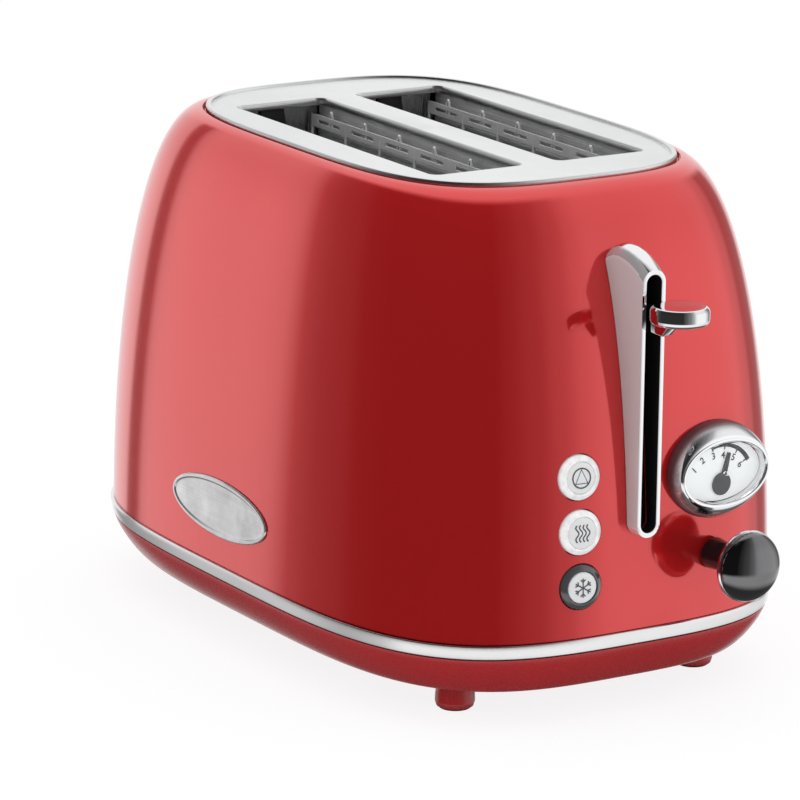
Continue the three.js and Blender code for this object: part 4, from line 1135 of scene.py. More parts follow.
    def tray(self) -> None:
        """Makes the crumb tray, whose back is a piece of the bowl, with its grip."""
        panel = self.shell_of_bowl("crumb_tray_panel")
        room = block("room", (-self.tray_wide, 74.0, 12.9), (self.tray_wide, 140, self.tray_high - 0.3))
        boolean(panel, room, "INTERSECT")
        bevel(panel, 0.3, 2, 60.0)
        place(panel, MIDDLE, "tray", RED_PLASTIC)
        grip = block("crumb_tray_grip", (-17, 127.5, 16.7), (17, 133.2, 18.3))
        bevel(grip, 0.6, 3)
        place(grip, MIDDLE, "tray", RED_PLASTIC)
        pan, inner = (block(*box) for box in (("crumb_tray_pan", (-44.0, -68.0, 12.9), (44.0, 124.0, 19.3)),
                                              ("cut", (-43.2, -67.2, 13.7), (43.2, 123.2, 30))))
        for piece, corner, grow in ((pan, 3.0, -0.7), (inner, 2.4, -1.5)):
            round_upright(piece, corner)
            self.trim(piece, grow)
        boolean(pan, inner)
        bevel(pan, 0.25, 2, 60.0)
        place(pan, MIDDLE, "tray", SHEET_STEEL, "crumb_tray")

    def build(self) -> None:
        """Makes all of the base."""
        self.band()
        self.bowl()
        self.bosses()
        self.feet()
        self.tray()


# The controls


@dataclass
class Lever:
    """The chromed guide with its black liner, and the round lever handle."""

    width: float = 9.2
    low: float = 63.4
    high: float = 155.7
    face: float = -137.0
    slot: float = 6.2
    rim: float = 1.6
    liner_start: float = 1.3
    sections: tuple[Triple, ...] = (
        (0.0, 0.0, 0.0), (2.5, 0.14, 1.7), (5.0, 0.28, 3.1), (8.0, 0.45, 4.6), (11.0, 0.62, 5.6), (14.0, 0.8, 6.2),
        (17.0, 0.95, 6.0), (20.0, 1.1, 4.9), (23.0, 1.25, 3.0), (28.0, 1.5, -1.0), (34.0, 1.9, -6.0))
    handle_radius: float = 10.0
    handle_low: float = 140.8
    handle_high: float = 146.7
    handle_y: float = -152.2
    neck_width: float = 4.2
    neck_low: float = 134.8
    neck_slant: Pair = (1.2, 7.2)
    neck_length: float = 22.0

    def guide_block(self) -> bpy.types.Object:
        """Draws the guide back from its face through its sections.

        Returns:
            The solid block, its cheeks and dome not yet rounded.
        """
        clear_selection()
        half = 28
        bpy.ops.mesh.primitive_circle_add(vertices=2 * half + 2, radius=1.0, fill_type="NGON")
        guide = named(bpy.context.object, "lever_guide_wedge")
        bpy.ops.object.mode_set(mode="EDIT")
        mesh = bmesh.from_edit_mesh(guide.data)
        for k, section in enumerate(self.sections):
            if k:
                bpy.ops.mesh.select_mode(type="EDGE")
                bpy.ops.mesh.extrude_edges_move(TRANSFORM_OT_translate={"value": (0.0, 0.001, 0.0)})
                mesh = bmesh.from_edit_mesh(guide.data)
            chosen = [vertex for vertex in mesh.verts if vertex.select]
            self.lay_section(chosen, half, *section)
            bmesh.update_edit_mesh(guide.data)
        bpy.ops.mesh.edge_face_add()
        bpy.ops.object.mode_set(mode="OBJECT")
        turn_faces_out(guide)
        return guide

    def lay_section(self, vertices: list[bmesh.types.BMVert], half: int, behind: float, growth: float,
                    rise: float) -> None:
        """Lays one ring of vertices on the slot-shaped outline of a section.

        Args:
            vertices: The ring, in order.
            half: Steps of each half circle.
            behind: Distance behind the face in millimetres.
            growth: Growth on each side.
            rise: Rise of the ridge.
        """
        radius = self.width / 2 + growth
        ends = ((self.high + rise - radius, 0.0), (self.low - growth + radius, math.pi))
        k = 0
        for centre, start in ends:
            for i in range(half + 1):
                angle = start + math.pi * i / half
                vertices[k].co = Vector((radius * math.cos(angle), self.face + behind,
                                         centre + radius * math.sin(angle))) * MM
                k += 1

    def guide(self) -> None:
        """Makes the tall wedge with its slot, its satin cheeks tinted by a painted reflection of the shell, and its
        black liner.
        """
        guide = self.guide_block()
        tool = stadium("cut", self.slot, self.low + self.rim, self.high - self.rim, self.face - 4, self.face + 40, 48)
        boolean(guide, tool)
        body = ring_stack("cut", FORM.outline(160), FORM.shell_rings(30, 0.25, 0.0, 31.0))
        boolean(guide, body)
        bevel(guide, 0.4, 4, 60.0)
        start = (self.face + self.liner_start) * MM
        mark_faces(guide, "liner", lambda face: float(self.in_slot(face.center) and face.center.y > start))
        # Marks the cheeks, and by half the dome's flanks, for the satin colour with its painted reflection.
        mark_faces(guide, "satin_and_painted_reflection_mask", self.cheek_share)
        place(guide, MIDDLE, "chassis", GUIDE_PLATE, "lever_guide", shading=35.0)

    def cheek_share(self, face: bpy.types.MeshPolygon) -> float:
        """Tells how much a face of the guide takes of the satin colour with its painted reflection: all on the cheeks,
        half on the dome's flanks.
        """
        if self.in_slot(face.center) or face.center.y < (self.face + 0.5) * MM:
            return 0.0
        return 1.0 if abs(face.normal.x) > 0.94 else 0.55 if abs(face.normal.x) > 0.5 else 0.0

    def in_slot(self, point: Vector) -> bool:
        """Tells whether a point in the guide's own place lies on the wall of the slot."""
        radius = self.slot / 2 + 0.05
        low, high = self.low + self.rim + self.slot / 2, self.high - self.rim - self.slot / 2
        x, z = point.x / MM, point.z / MM
        return math.hypot(x, z - min(max(z, low), high)) < radius

    def handle(self) -> None:
        """Makes the disc, and the wedge under it that runs back into the slot."""
        r, low, high = self.handle_radius, self.handle_low, self.handle_high
        profile = softened([(0.02, low, 0), (r - 0.7, low, 0.8), (r - 0.1, low + 0.9, 0.8), (r, low + 1.8, 0.8),
                            (r, high - 1.9, 1.0), (r - 0.25, high - 0.9, 0.8), (r - 1.2, high, 0.9),
                            (r - 3.0, high - 0.02, 2.0), (0.02, high - 0.3, 0)], 6)
        disc = turned("lever_handle_disc", profile, 96)
        place(disc, MIDDLE @ shift(0.0, self.handle_y), "carriage", CHROME, "lever_handle")
        wide, front = self.neck_width / 2, self.handle_y
        neck = block("lever_neck", (-wide, front + self.neck_slant[0], self.neck_low),
                     (wide, front + self.neck_length, low + 2.9))
        for vertex in neck.data.vertices:
            if vertex.co.y < (front + 2) * MM:
                is_low = vertex.co.z < (self.neck_low + 1) * MM
                vertex.co.y = (front + (self.neck_slant[1] if is_low else -0.9)) * MM
        bevel(neck, 0.45, 3)
        place(neck, MIDDLE, "carriage", CHROME)

    def build(self) -> None:
        """Makes the guide and the handle."""
        self.guide()
        self.handle()


BUTTON_X = -23.2
BUTTON_HEIGHTS = {"stop": 85.7, "reheat": 66.95, "defrost": 48.2}
GAUGE_PLACE = FORM.end_frame(32.3, 81.1, 4.5, 0.0)
KNOB_PLACE = FORM.end_frame(31.0, 52.4, 2.0, 0.0)
GLAND_PLACE = FORM.end_frame(-45.0, 42.0, *FORM.end_turn(-45.0, 42.0), 1)


@dataclass
class Buttons:
    """The three round push buttons: a moulded ring with a white cap and a plain symbol."""

    radius: float = 7.75
    cap: float = 5.45
    proud: float = 1.5
    depth: float = 4.0
    stem: float = 2.2
    stem_end: float = -118.5
    line: float = 0.25

    @staticmethod
    def frames() -> list[Matrix]:
        """Places of the three buttons on the shell."""
        return [FORM.end_frame(BUTTON_X, z, *FORM.end_turn(BUTTON_X, z)) for z in BUTTON_HEIGHTS.values()]

    def mark(self, name: str, spot: Matrix, lines: list[list[Pair]], closed: bool) -> None:
        """Draws a printed symbol on a cap.

        Args:
            name: The button's name.
            spot: Its place.
            lines: Polylines in millimetres on the cap.
            closed: Whether each line closes.
        """
        height = self.proud + 0.26
        parts = [wire("line", [(x, y, height) for x, y in line], self.line, cyclic=closed, sides=2) for line in lines]
        symbol = join(*parts, name=f"button_symbol_{name}")
        flatten(symbol, height, 0.25)
        place(symbol, spot, f"button_{name}", INK)

    @staticmethod
    def symbols() -> dict[str, tuple[list[list[Pair]], bool]]:
        """Draws the three symbols.

        Returns:
            The lines of each button's symbol, in millimetres, and whether they close.
        """
        turns = [a * math.pi / 16 for a in range(32)]
        circle = [(3.35 * math.cos(turn), 3.35 * math.sin(turn)) for turn in turns]
        triangle = [(0.0, 2.9), (-2.35, -1.85), (2.35, -1.85)]
        waves = [[(x - 0.6 * math.sin(t / 11 * 2 * math.pi), -2.9 + 5.8 * t / 16) for t in range(17)]
                 for x in (-2.1, -0.7, 0.7, 2.1)]
        twigs = (((0.0, 0.0), (0.0, 3.3)), ((-0.9, 2.9), (0.0, 1.95), (0.9, 2.9)))
        flake = [[tuple(Matrix.Rotation(k * math.pi / 3, 2) @ Vector(point)) for point in twig]
                 for k in range(6) for twig in twigs]
        return {"stop": ([circle, triangle], True), "reheat": (waves, False), "defrost": (flake, False)}

    def build(self) -> None:
        """Makes the three buttons and their symbols."""
        r, c, p = self.radius, self.cap, self.proud
        spots = dict(zip(BUTTON_HEIGHTS, self.frames()))
        for name, spot in spots.items():
            ring = turned(f"button_rim_{name}", softened(
                [(c + 0.14, -self.depth, 0), (r, -self.depth, 0.2), (r, p - 0.9, 1.1), (r - 1.5, p - 0.1, 1.2),
                 (c + 0.4, p + 0.05, 0.2), (c + 0.14, p - 0.1, 0.1)], 5, looped=True), 96, looped=True)
            finish = GREY_PLASTIC if name == "defrost" else CLEAR_PLASTIC
            place(ring, spot, f"button_{name}", finish, f"button_ring_{name}")
            end = (self.stem_end + (MIDDLE.translation.y - spot.translation.y) / MM) / spot.col[2].y
            cap = turned(f"button_face_{name}", softened(
                [(0.02, end, 0), (self.stem, end, 0.2), (self.stem, -2.0, 0.3), (c, -2.0, 0.1), (c, p - 0.2, 0.5),
                 (c - 1.2, p + 0.15, 1.0), (0.02, p + 0.28, 0)], 5), 72)
            place(cap, spot, f"button_{name}", WHITE_PLASTIC, f"button_cap_{name}")
        for name, (symbol, closed) in self.symbols().items():
            self.mark(name, spots[name], symbol, closed)


@dataclass
class Gauge:
    """The oval gauge: bulged bezel, dial with its scale, needle and glass."""

    foot: Pair = (20.6, 16.9)
    edge: Pair = (18.8, 12.0)
    depth: float = 7.0
    hub: Pair = (0.15, -4.4)
    hub_radius: float = 3.95
    needle_length: float = 11.0
    needle_turn: float = 16.0
    face: float = 3.2
    lip: float = 1.4
    numbers: tuple[Pair, ...] = ((-61.7, 13.1), (-41.7, 12.2), (-18.6, 10.55), (4.8, 9.8), (32.2, 9.9),
                                                (56.5, 9.95))
    ticks: tuple[Triple, ...] = ((-17.3, 12.2, 13.4), (6.7, 11.8, 12.9), (32.6, 11.6, 12.9), (57.0, 11.6, 12.9))
    band: tuple[Pair, ...] = ((-19.0, 13.0), (-17.0, 13.1), (8.0, 13.65), (32.0, 14.2), (57.0, 14.4),
                                             (61.0, 14.4))
    band_inner: float = 12.75

    def bezel(self) -> None:
        """Makes the bezel: a bulged wall, a fine groove and a bright front bead."""
        rings: list[Triple] = []
        for out, share in ((-4.0, 0.0), (0.0, 0.0), (0.12, 0.03), (0.25, 0.08), (0.4, 0.17), (0.55, 0.3),
                           (0.68, 0.45), (0.78, 0.59), (0.86, 0.72), (0.905, 0.82)):
            half = [a + (b - a) * share for a, b in zip(self.foot, self.edge)]
            rings.append((half[0], half[1], out * self.depth))
        d = self.depth
        front = softened([(0.1, d * 0.925, 0.2), (-0.12, d * 0.93, 0.1), (-0.1, d * 0.96, 0.1), (0.0, d, 0.5),
                          (-1.1, d, 0.5), (-self.lip, d - 0.9, 0.3), (-self.lip, -4.0, 0)], 4)
        rings += oval_rings(self.edge, front)
        rings.append(rings[0])
        bezel = ring_stack("gauge_bezel_ring", round_outline(128), rings, looped=True)
        fix_place(bezel, GAUGE_PLACE)
        body = fix_place(ring_stack("cut", FORM.outline(160), FORM.shell_rings(30, 0.2, 0.0, 31.0)), MIDDLE)
        boolean(bezel, body)
        # Marks the outer wall, fully at its foot and fading towards the front, for a painted dark reflection of the
        # red shell.
        shade = bezel.data.attributes.new("satin_and_painted_reflection_mask", "FLOAT", "POINT")
        back = GAUGE_PLACE.inverted()
        for vertex in bezel.data.vertices:
            spot = back @ vertex.co / MM
            outside = (spot.x / self.edge[0]) ** 2 + (spot.y / self.edge[1]) ** 2 > 1.02
            shade.data[vertex.index].value = min(1.0, max(0.0, (5.0 - spot.z) / 2.4)) if outside else 0.0
        place(bezel, None, "chassis", BEZEL_PLATE, "gauge_bezel", shading=35.0)

    def scale_point(self, degrees: float, radius: float) -> Pair:
        """Point on the dial at an angle clockwise from up and a radius about the hub."""
        angle = math.radians(degrees)
        return self.hub[0] + radius * math.sin(angle), self.hub[1] + radius * math.cos(angle)

    def inner_half(self) -> Pair:
        """Half width and half height of what the bezel holds."""
        return self.edge[0] - self.lip - 0.3, self.edge[1] - self.lip - 0.3

    def dial(self) -> None:
        """Makes the dial, its numbers, ticks and the growing dark band."""
        dial = ring_stack("gauge_dial_plate", round_outline(96),
                          [(*self.inner_half(), 2.4), (*self.inner_half(), self.face)])
        boolean(dial, fix_place(turned("cut", [(1.3, 0.0), (1.3, 8.0)], 32), shift(*self.hub)))
        bevel(dial, 0.15, 2, 60.0)
        place(dial, GAUGE_PLACE, "chassis", DIAL_WHITE, "gauge_dial")
        height = self.face + 0.12
        parts = [self.number(k + 1, degrees, radius) for k, (degrees, radius) in enumerate(self.numbers)]
        for degrees, *ends in self.ticks:
            parts.append(wire("tick", [(*self.scale_point(degrees, end), height) for end in ends], 0.24, sides=1))
        scale = join(*parts, self.crescent(), name="gauge_scale_print")
        flatten(scale, height, 0.2)
        place(scale, GAUGE_PLACE, "chassis", INK, shading=None)

    def number(self, value: int, degrees: float, radius: float) -> bpy.types.Object:
        """Makes one number of the scale, turned with the arc.

        Args:
            value: The number.
            degrees: Its angle clockwise from up.
            radius: Its distance from the hub.

        Returns:
            The number as a mesh.
        """
        clear_selection()
        bpy.ops.object.text_add()
        text = bpy.context.object
        text.data.body = str(value)
        text.data.size = 3.4 * MM
        text.data.offset = 0.05 * MM
        text.data.align_x = text.data.align_y = "CENTER"
        text.data.extrude = 0.1 * MM
        text.data.resolution_u = 3
        bpy.ops.object.convert(target="MESH")
        number = bpy.context.object
        at = shift(*self.scale_point(degrees, radius), self.face + 0.12)
        return fix_place(number, at @ Matrix.Rotation(math.radians(-degrees * 0.75), 4, "Z"))

    def crescent(self) -> bpy.types.Object:
        """Makes the dark band that thickens from the third tick to the last."""
        outer, inner = [], []
        for (near, low), (far, high) in zip(self.band, self.band[1:]):
            for i in range(8):
                share = i / 8
                degrees = near + (far - near) * share
                inner.append(self.scale_point(degrees, self.band_inner))
                outer.append(self.scale_point(degrees, low + (high - low) * share))
        outline = outer + inner[::-1]
        clear_selection()
        bpy.ops.mesh.primitive_circle_add(vertices=len(outline), radius=MM, fill_type="NOTHING")
        band = bpy.context.object
        for vertex, (x, y) in zip(band.data.vertices, outline):
            vertex.co = Vector((x, y, self.face + 0.02)) * MM
        bpy.ops.object.mode_set(mode="EDIT")
        bpy.ops.mesh.select_all(action="SELECT")
        bpy.ops.mesh.edge_face_add()
        bpy.ops.mesh.extrude_region_move(TRANSFORM_OT_translate={"value": (0, 0, 0.2 * MM)})
        bpy.ops.object.mode_set(mode="OBJECT")
        turn_faces_out(band)
        return band

    def needle(self) -> None:
        """Makes the needle: a round hub and a tapered pointer."""
        low, high = self.face + 0.3, self.face + 1.0
        r = self.hub_radius
        profile = softened([(0.02, low, 0), (r, low, 0.1), (r, high, 0.3), (0.02, high, 0)], 3)
        hub = turned("gauge_needle_pointer", profile, 64)
        pointer = block("pointer", (-1.38, 0, low), (1.38, self.needle_length, high - 0.1))
        for vertex in pointer.data.vertices:
            if vertex.co.y > 0.006:
                vertex.co.x *= 0.56
        bevel(pointer, 0.2, 2)
        fix_place(pointer, Matrix.Rotation(math.radians(-self.needle_turn), 4, "Z"))
        needle = join(hub, pointer, turned("shaft", [(1.0, -8.0), (1.0, low + 0.2)], 24))
        place(needle, GAUGE_PLACE @ shift(*self.hub), "needle", NEEDLE_GREY, "gauge_needle")

    def glass(self) -> None:
        """Makes the slightly domed glass."""
        wide, high = self.inner_half()
        rings: list[Triple] = [(wide, high, 5.3)]
        for i in range(9):
            angle = math.pi / 2 * i / 8.4
            rings.append((wide * math.cos(angle), high * math.cos(angle), 6.1 + 1.0 * math.sin(angle)))
        inner = [(ring[0] * 0.99, ring[1] * 0.99, ring[2] - 0.8) for ring in rings[1:]][::-1]
        glass = ring_stack("gauge_glass_lens", round_outline(96), rings + inner + rings[:1], looped=True)
        place(glass, GAUGE_PLACE, "chassis", GLASS, "gauge_lens", shading=50.0)

    def build(self) -> None:
        """Makes the whole gauge."""
        self.bezel()
        self.dial()
        self.needle()
        self.glass()


@dataclass
class Knob:
    """The browning knob: black dome in a bright rim, on a waisted neck."""

    radius: float = 12.4
    reach: float = 27.6
    dome: float = 7.2
    rim: float = 2.7
    neck: float = 5.3
    waist: float = 4.7

    def build(self) -> None:
        """Makes dome, rim and neck."""
        top = self.reach - self.dome
        low = top - self.rim
        r = self.radius
        rim = turned("knob_bright_rim", softened(
            [(r - 2.2, low + 0.3, 0.2), (r - 2.4, low, 0.2), (r - 1.4, low, 0.6), (r, low + 1.3, 1.2),
             (r, top - 0.2, 0.5), (r - 0.45, top + 0.2, 0.3), (r - 1.0, top, 0.2), (r - 2.2, top, 0.1)],
            5, looped=True), 96, looped=True)
        curve = [(0.02, low - 0.2), (r - 2.5, low - 0.2), (r - 2.5, top - 0.2), (r - 0.6, top + 0.15)]
        for i in range(17):
            angle = math.pi / 2 * i / 16
            curve.append(((r - 0.35) * math.cos(angle), top + 0.4 + (self.dome - 0.4) * math.sin(angle)))
        dome = turned("knob_black_dome", curve, 96)
        end = low - 0.3
        neck = turned("knob_neck", softened(
            [(0.02, -15.0, 0), (3.0, -15.0, 0.3), (3.0, 1.1, 0.2), (self.neck + 0.3, 1.1, 0.4),
             (self.waist, end / 2, 9.0), (self.neck, end, 0), (0.02, end, 0)], 6), 64)
        for piece, finish, node in ((rim, CHROME, "knob_rim"), (dome, BLACK_GLOSS, "knob_dome"),
                                    (neck, NECK_BLACK, "knob_stem")):
            place(piece, KNOB_PLACE, "browning_knob", finish, node)


# Inside


@dataclass
class Toasting:
    """The linings of the slots, the bread guards, heaters and lifters, and the return spring."""

    centres: Pair = (-25.0, 25.0)
    foot: float = 11.5
    low: float = 36.0
    lean: float = math.degrees(math.atan((16.2 - 11.5) / (167 - 36)))
    rail_top: float = 137.0
    wall_at: float = 20.2
    wall_low: float = 158.4
    wall_high: float = 178.2

    def top_rail(self) -> bpy.types.Object:
        """Makes the flat slit rail along a guard's top."""
        rail = block("rail", (-0.4, -71.4, self.rail_top - 4.6), (0.4, 71.4, self.rail_top))
        slits = [block("cut", (-2.0, y, self.rail_top - 2.9), (2.0, y + 15.0, self.rail_top - 1.7))
                 for y in (-66.0, -42.5, -19.0, 4.5, 28.0, 51.5)]
        boolean(rail, join(*slits))
        bevel(rail, 0.15, 2)
        return rail

    def walls(self) -> None:
        """Makes the bright sheets that line both slots under the plate, and a black sheet at the back of each that
        paints the shade of the dark opening there.
        """
        for name, centre in zip(SIDES, self.centres):
            sheets = []
            for side in (-1, 1):
                x = centre + side * self.wall_at
                sheets.append(block("sheet", (x - 0.3, -72.9, self.wall_low), (x + 0.3, 72.2, self.wall_high)))
                x -= side * 0.3
                sheets.append(block("rib", (x - 0.5, -72.9, 165.0), (x + 0.5, 72.2, 166.6)))
                bevel(sheets[-1], 0.4, 3)
            place(join(*sheets, name=f"slot_lining_{name}"), MIDDLE, "chassis", LINING_STEEL, shading=35.0)
            # A black sheet that narrows to the top: painted shade where the slot's back end opens into darkness.
            opening_shade_sheet = block(f"back_opening_painted_shade_{name}", (centre - 7.5, 71.9, 160.0), (centre + 7.5, 72.3, 176.2))
            for vertex in opening_shade_sheet.data.vertices:
                if vertex.co.z > 0.17:
                    vertex.co.x = (centre + (vertex.co.x / MM - centre) * 0.62) * MM
            bevel(opening_shade_sheet, 0.12, 2)
            place(opening_shade_sheet, MIDDLE, "chassis", BLACK_PLASTIC, shading=35.0)
            bend = [(centre - 16.5, 72.2, 175.6), (centre - 13.0, 72.0, 172.5), (centre - 8.2, 72.2, 167.5)]
            stay = wire(f"back_stay_{name}", bend, 0.38, smoothed=True)
            place(stay, MIDDLE, "chassis", BRIGHT_WIRE, shading=None)

    def grid(self, side: int) -> bpy.types.Object:
        """Makes one wire grid, standing on its rod.

        Args:
            side: 1 if its hooks and the hollow of its bows face +X, -1 if they face -X.

        Returns:
            The grid.
        """
        high, top = 131.0, self.rail_top
        parts = [wire("rod", [(0, -74.8, 0), (0, 74.8, 0)], 0.8), self.top_rail()]
        for k in (1, 2):
            z = high * k / 3 - 0.8
            parts.append(wire("rail", [(0, -71.4, z), (0, 71.4, z)], 0.75))
        for i in range(7):
            y = -70.6 + 141.2 * i / 6
            bow = -side * 0.55
            points = [(0, y, 0.3), (bow, y, high * 0.3), (bow, y, high * 0.8), (0, y, high + 1.6),
                      (side * 0.1, y, top - 0.6)]
            parts.append(wire("upright", points, 0.6, smoothed=True))
        for i in range(6):
            y = -58.8 + 23.5 * i
            hook = ((0.2, -1.6, high + 2.4), (0.2, -1.2, top + 1.0), (0.5, 0, top + 2.0), (0.9, 1.3, top + 1.2),
                    (1.0, 1.6, high + 2.0))
            parts.append(wire("hook", [(side * out, y + along, z) for out, along, z in hook], 0.5, smoothed=True))
        return join(*parts)

    def guards(self) -> None:
        """Makes a wire grid for each hand, and copies both to the two slots."""
        grids = {side: self.grid(side) for side in (-1, 1)}
        for name, centre in zip(SIDES, self.centres):
            away = int(math.copysign(1, centre))
            for spot, side in (("outer", away), ("inner", -away)):
                tilt = Matrix.Rotation(side * math.radians(self.lean), 4, "Y")
                at = MIDDLE @ shift(centre + side * self.foot, 0.0, self.low) @ tilt
                place(copied(grids[side], f"guard_grid_{name}_{spot}"), at, f"guard_{name}_{spot}", BRIGHT_WIRE,
                      f"bread_guard_{name}_{spot}", shading=None)
        discard(*grids.values())

    def heaters(self) -> None:
        """Makes the mica boards with a flat ribbon laid over their faces."""
        for name, x, faces in (("left", -46.0, (1,)), ("centre", 0.0, (-1, 1)), ("right", 46.0, (-1,))):
            board = block(f"heater_board_{name}", (x - 0.5, -72.7, 38.0), (x + 0.5, 72.7, 156.0))
            notch = [block("cut", (x - 2, y - 1.1, z - 0.9), (x + 2, y + 1.1, z + 0.9))
                     for y in (-72.7, 72.7) for z in range(46, 152, 7)]
            boolean(board, join(*notch))
            place(board, MIDDLE, "chassis", MICA, f"heater_{name}", shading=35.0)
            ribbons = []
            for skin in (x + face * 0.55 for face in faces):
                ribbons += [block("strip", (skin - 0.12, -67.5, z - 0.8), (skin + 0.12, 67.5, z + 0.8))
                            for z in range(44, 154, 6)]
            ribbon = join(*ribbons, name=f"heater_ribbon_{name}")
            bevel(ribbon, 0.05, 1)
            place(ribbon, MIDDLE, "chassis", WINDING, shading=None)

    def lifters(self) -> None:
        """Makes the bread lifters: a bar with folded rests and long slits."""
        for name, x in zip(SIDES, self.centres):
            bar = block(f"lifter_bar_{name}", (x - 1.2, -84.3, 104.0), (x + 1.2, 77.4, 112.0))
            boolean(bar, join(*(block("cut", (x - 4, y, 107.2), (x + 4, y + 18, 109.0)) for y in range(-60, 61, 30))))
            rests = []
            for i in range(6):
                y = (i - 2.5) * 22.5
                rest = block("rest", (x - 7.0, y - 3.0, 110.2), (x + 7.0, y + 3.0, 111.9))
                for vertex in rest.data.vertices:
                    vertex.co.y = y * MM + (vertex.co.y - y * MM) * 0.7
                rests.append(rest)
            lifter = join(bar, *rests)
            bevel(lifter, 0.3, 2, 50.0)
            place(lifter, MIDDLE, "carriage", BRIGHT_WIRE, f"bread_lifter_{name}", shading=35.0)

    def spring(self) -> None:
        """Makes the coiled return spring between its tab and the carriage."""
        points = []
        steps, low, high = 14 * 12, 133.2, 166.6
        for i in range(steps + 1):
            angle = 2 * math.pi * i / 12
            points.append((9 + 2.55 * math.cos(angle), -80 + 2.55 * math.sin(angle), low + (high - low) * i / steps))
        coil = fix_place(wire("return_spring_coil", points, 0.42, sides=2), MIDDLE)
        dress(coil, BRIGHT_WIRE)
        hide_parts("return_spring")
        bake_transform(coil)

    def build(self) -> None:
        """Makes all that the bread meets."""
        self.walls()
        self.guards()
        self.heaters()
        self.lifters()
        self.spring()


@dataclass
class CordBoot:
    """The ribbed strain relief at the back, where the mains lead comes in."""

    flange: float = 6.8
    collar: float = 2.6
    root: float = 4.8
    tip: float = 4.2
    bore: float = 3.3
    proud: float = 9.12
    ribs: int = 4

    def build(self) -> None:
        """Turns the boot with its flange, its grooves and its bore."""
        corners = [(self.bore, -6.0, 0), (self.root, -6.0, 0.2), (self.root, 0.7, 0), (self.flange, 0.7, 0.3),
                   (self.flange, self.collar, 0.5), (self.root + 0.3, self.collar + 0.1, 0.2)]
        length = (self.proud - self.collar - 0.6) / self.ribs
        for i in range(self.ribs):
            low = self.collar + 0.5 + i * length
            radius = self.root + (self.tip - self.root) * (i + 0.5) / self.ribs
            corners += [(radius - 0.5, low, 0.2), (radius - 0.5, low + 0.35 * length, 0.2),
                        (radius, low + 0.45 * length, 0.2), (radius, low + 0.95 * length, 0.2)]
        corners += [(self.tip, self.proud, 0.25), (self.bore, self.proud, 0.2)]
        boot = turned("cord_boot", softened(corners, 3, looped=True), 64, looped=True)
        place(boot, GLAND_PLACE, "chassis", BLACK_PLASTIC, "cord_gland", shading=35.0)


SOLID_FINISHES: dict[Finish, tuple[str, ...]] = {
    SHEET_STEEL: ("front_plate", "rear_plate", "heat_shield_left", "heat_shield_right", "carriage_bracket",
                  "latch_keeper", "base_screw_front_left", "base_screw_front_right", "base_screw_rear_left",
                  "base_screw_rear_right"),
    BLACK_PLASTIC: ("guide_liner", "latch_magnet", "switch_stop", "switch_reheat", "switch_defrost", "potentiometer",
                    "gauge_movement"),
    CHROME: ("guide_rail",),
    BOARD_GREEN: ("control_board",),
}


def dress_solids() -> None:
    """Gives the solids that show as they are their finishes."""
    for finish, names in SOLID_FINISHES.items():
        for name in names:
            dress(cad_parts[name], finish)


# The studio


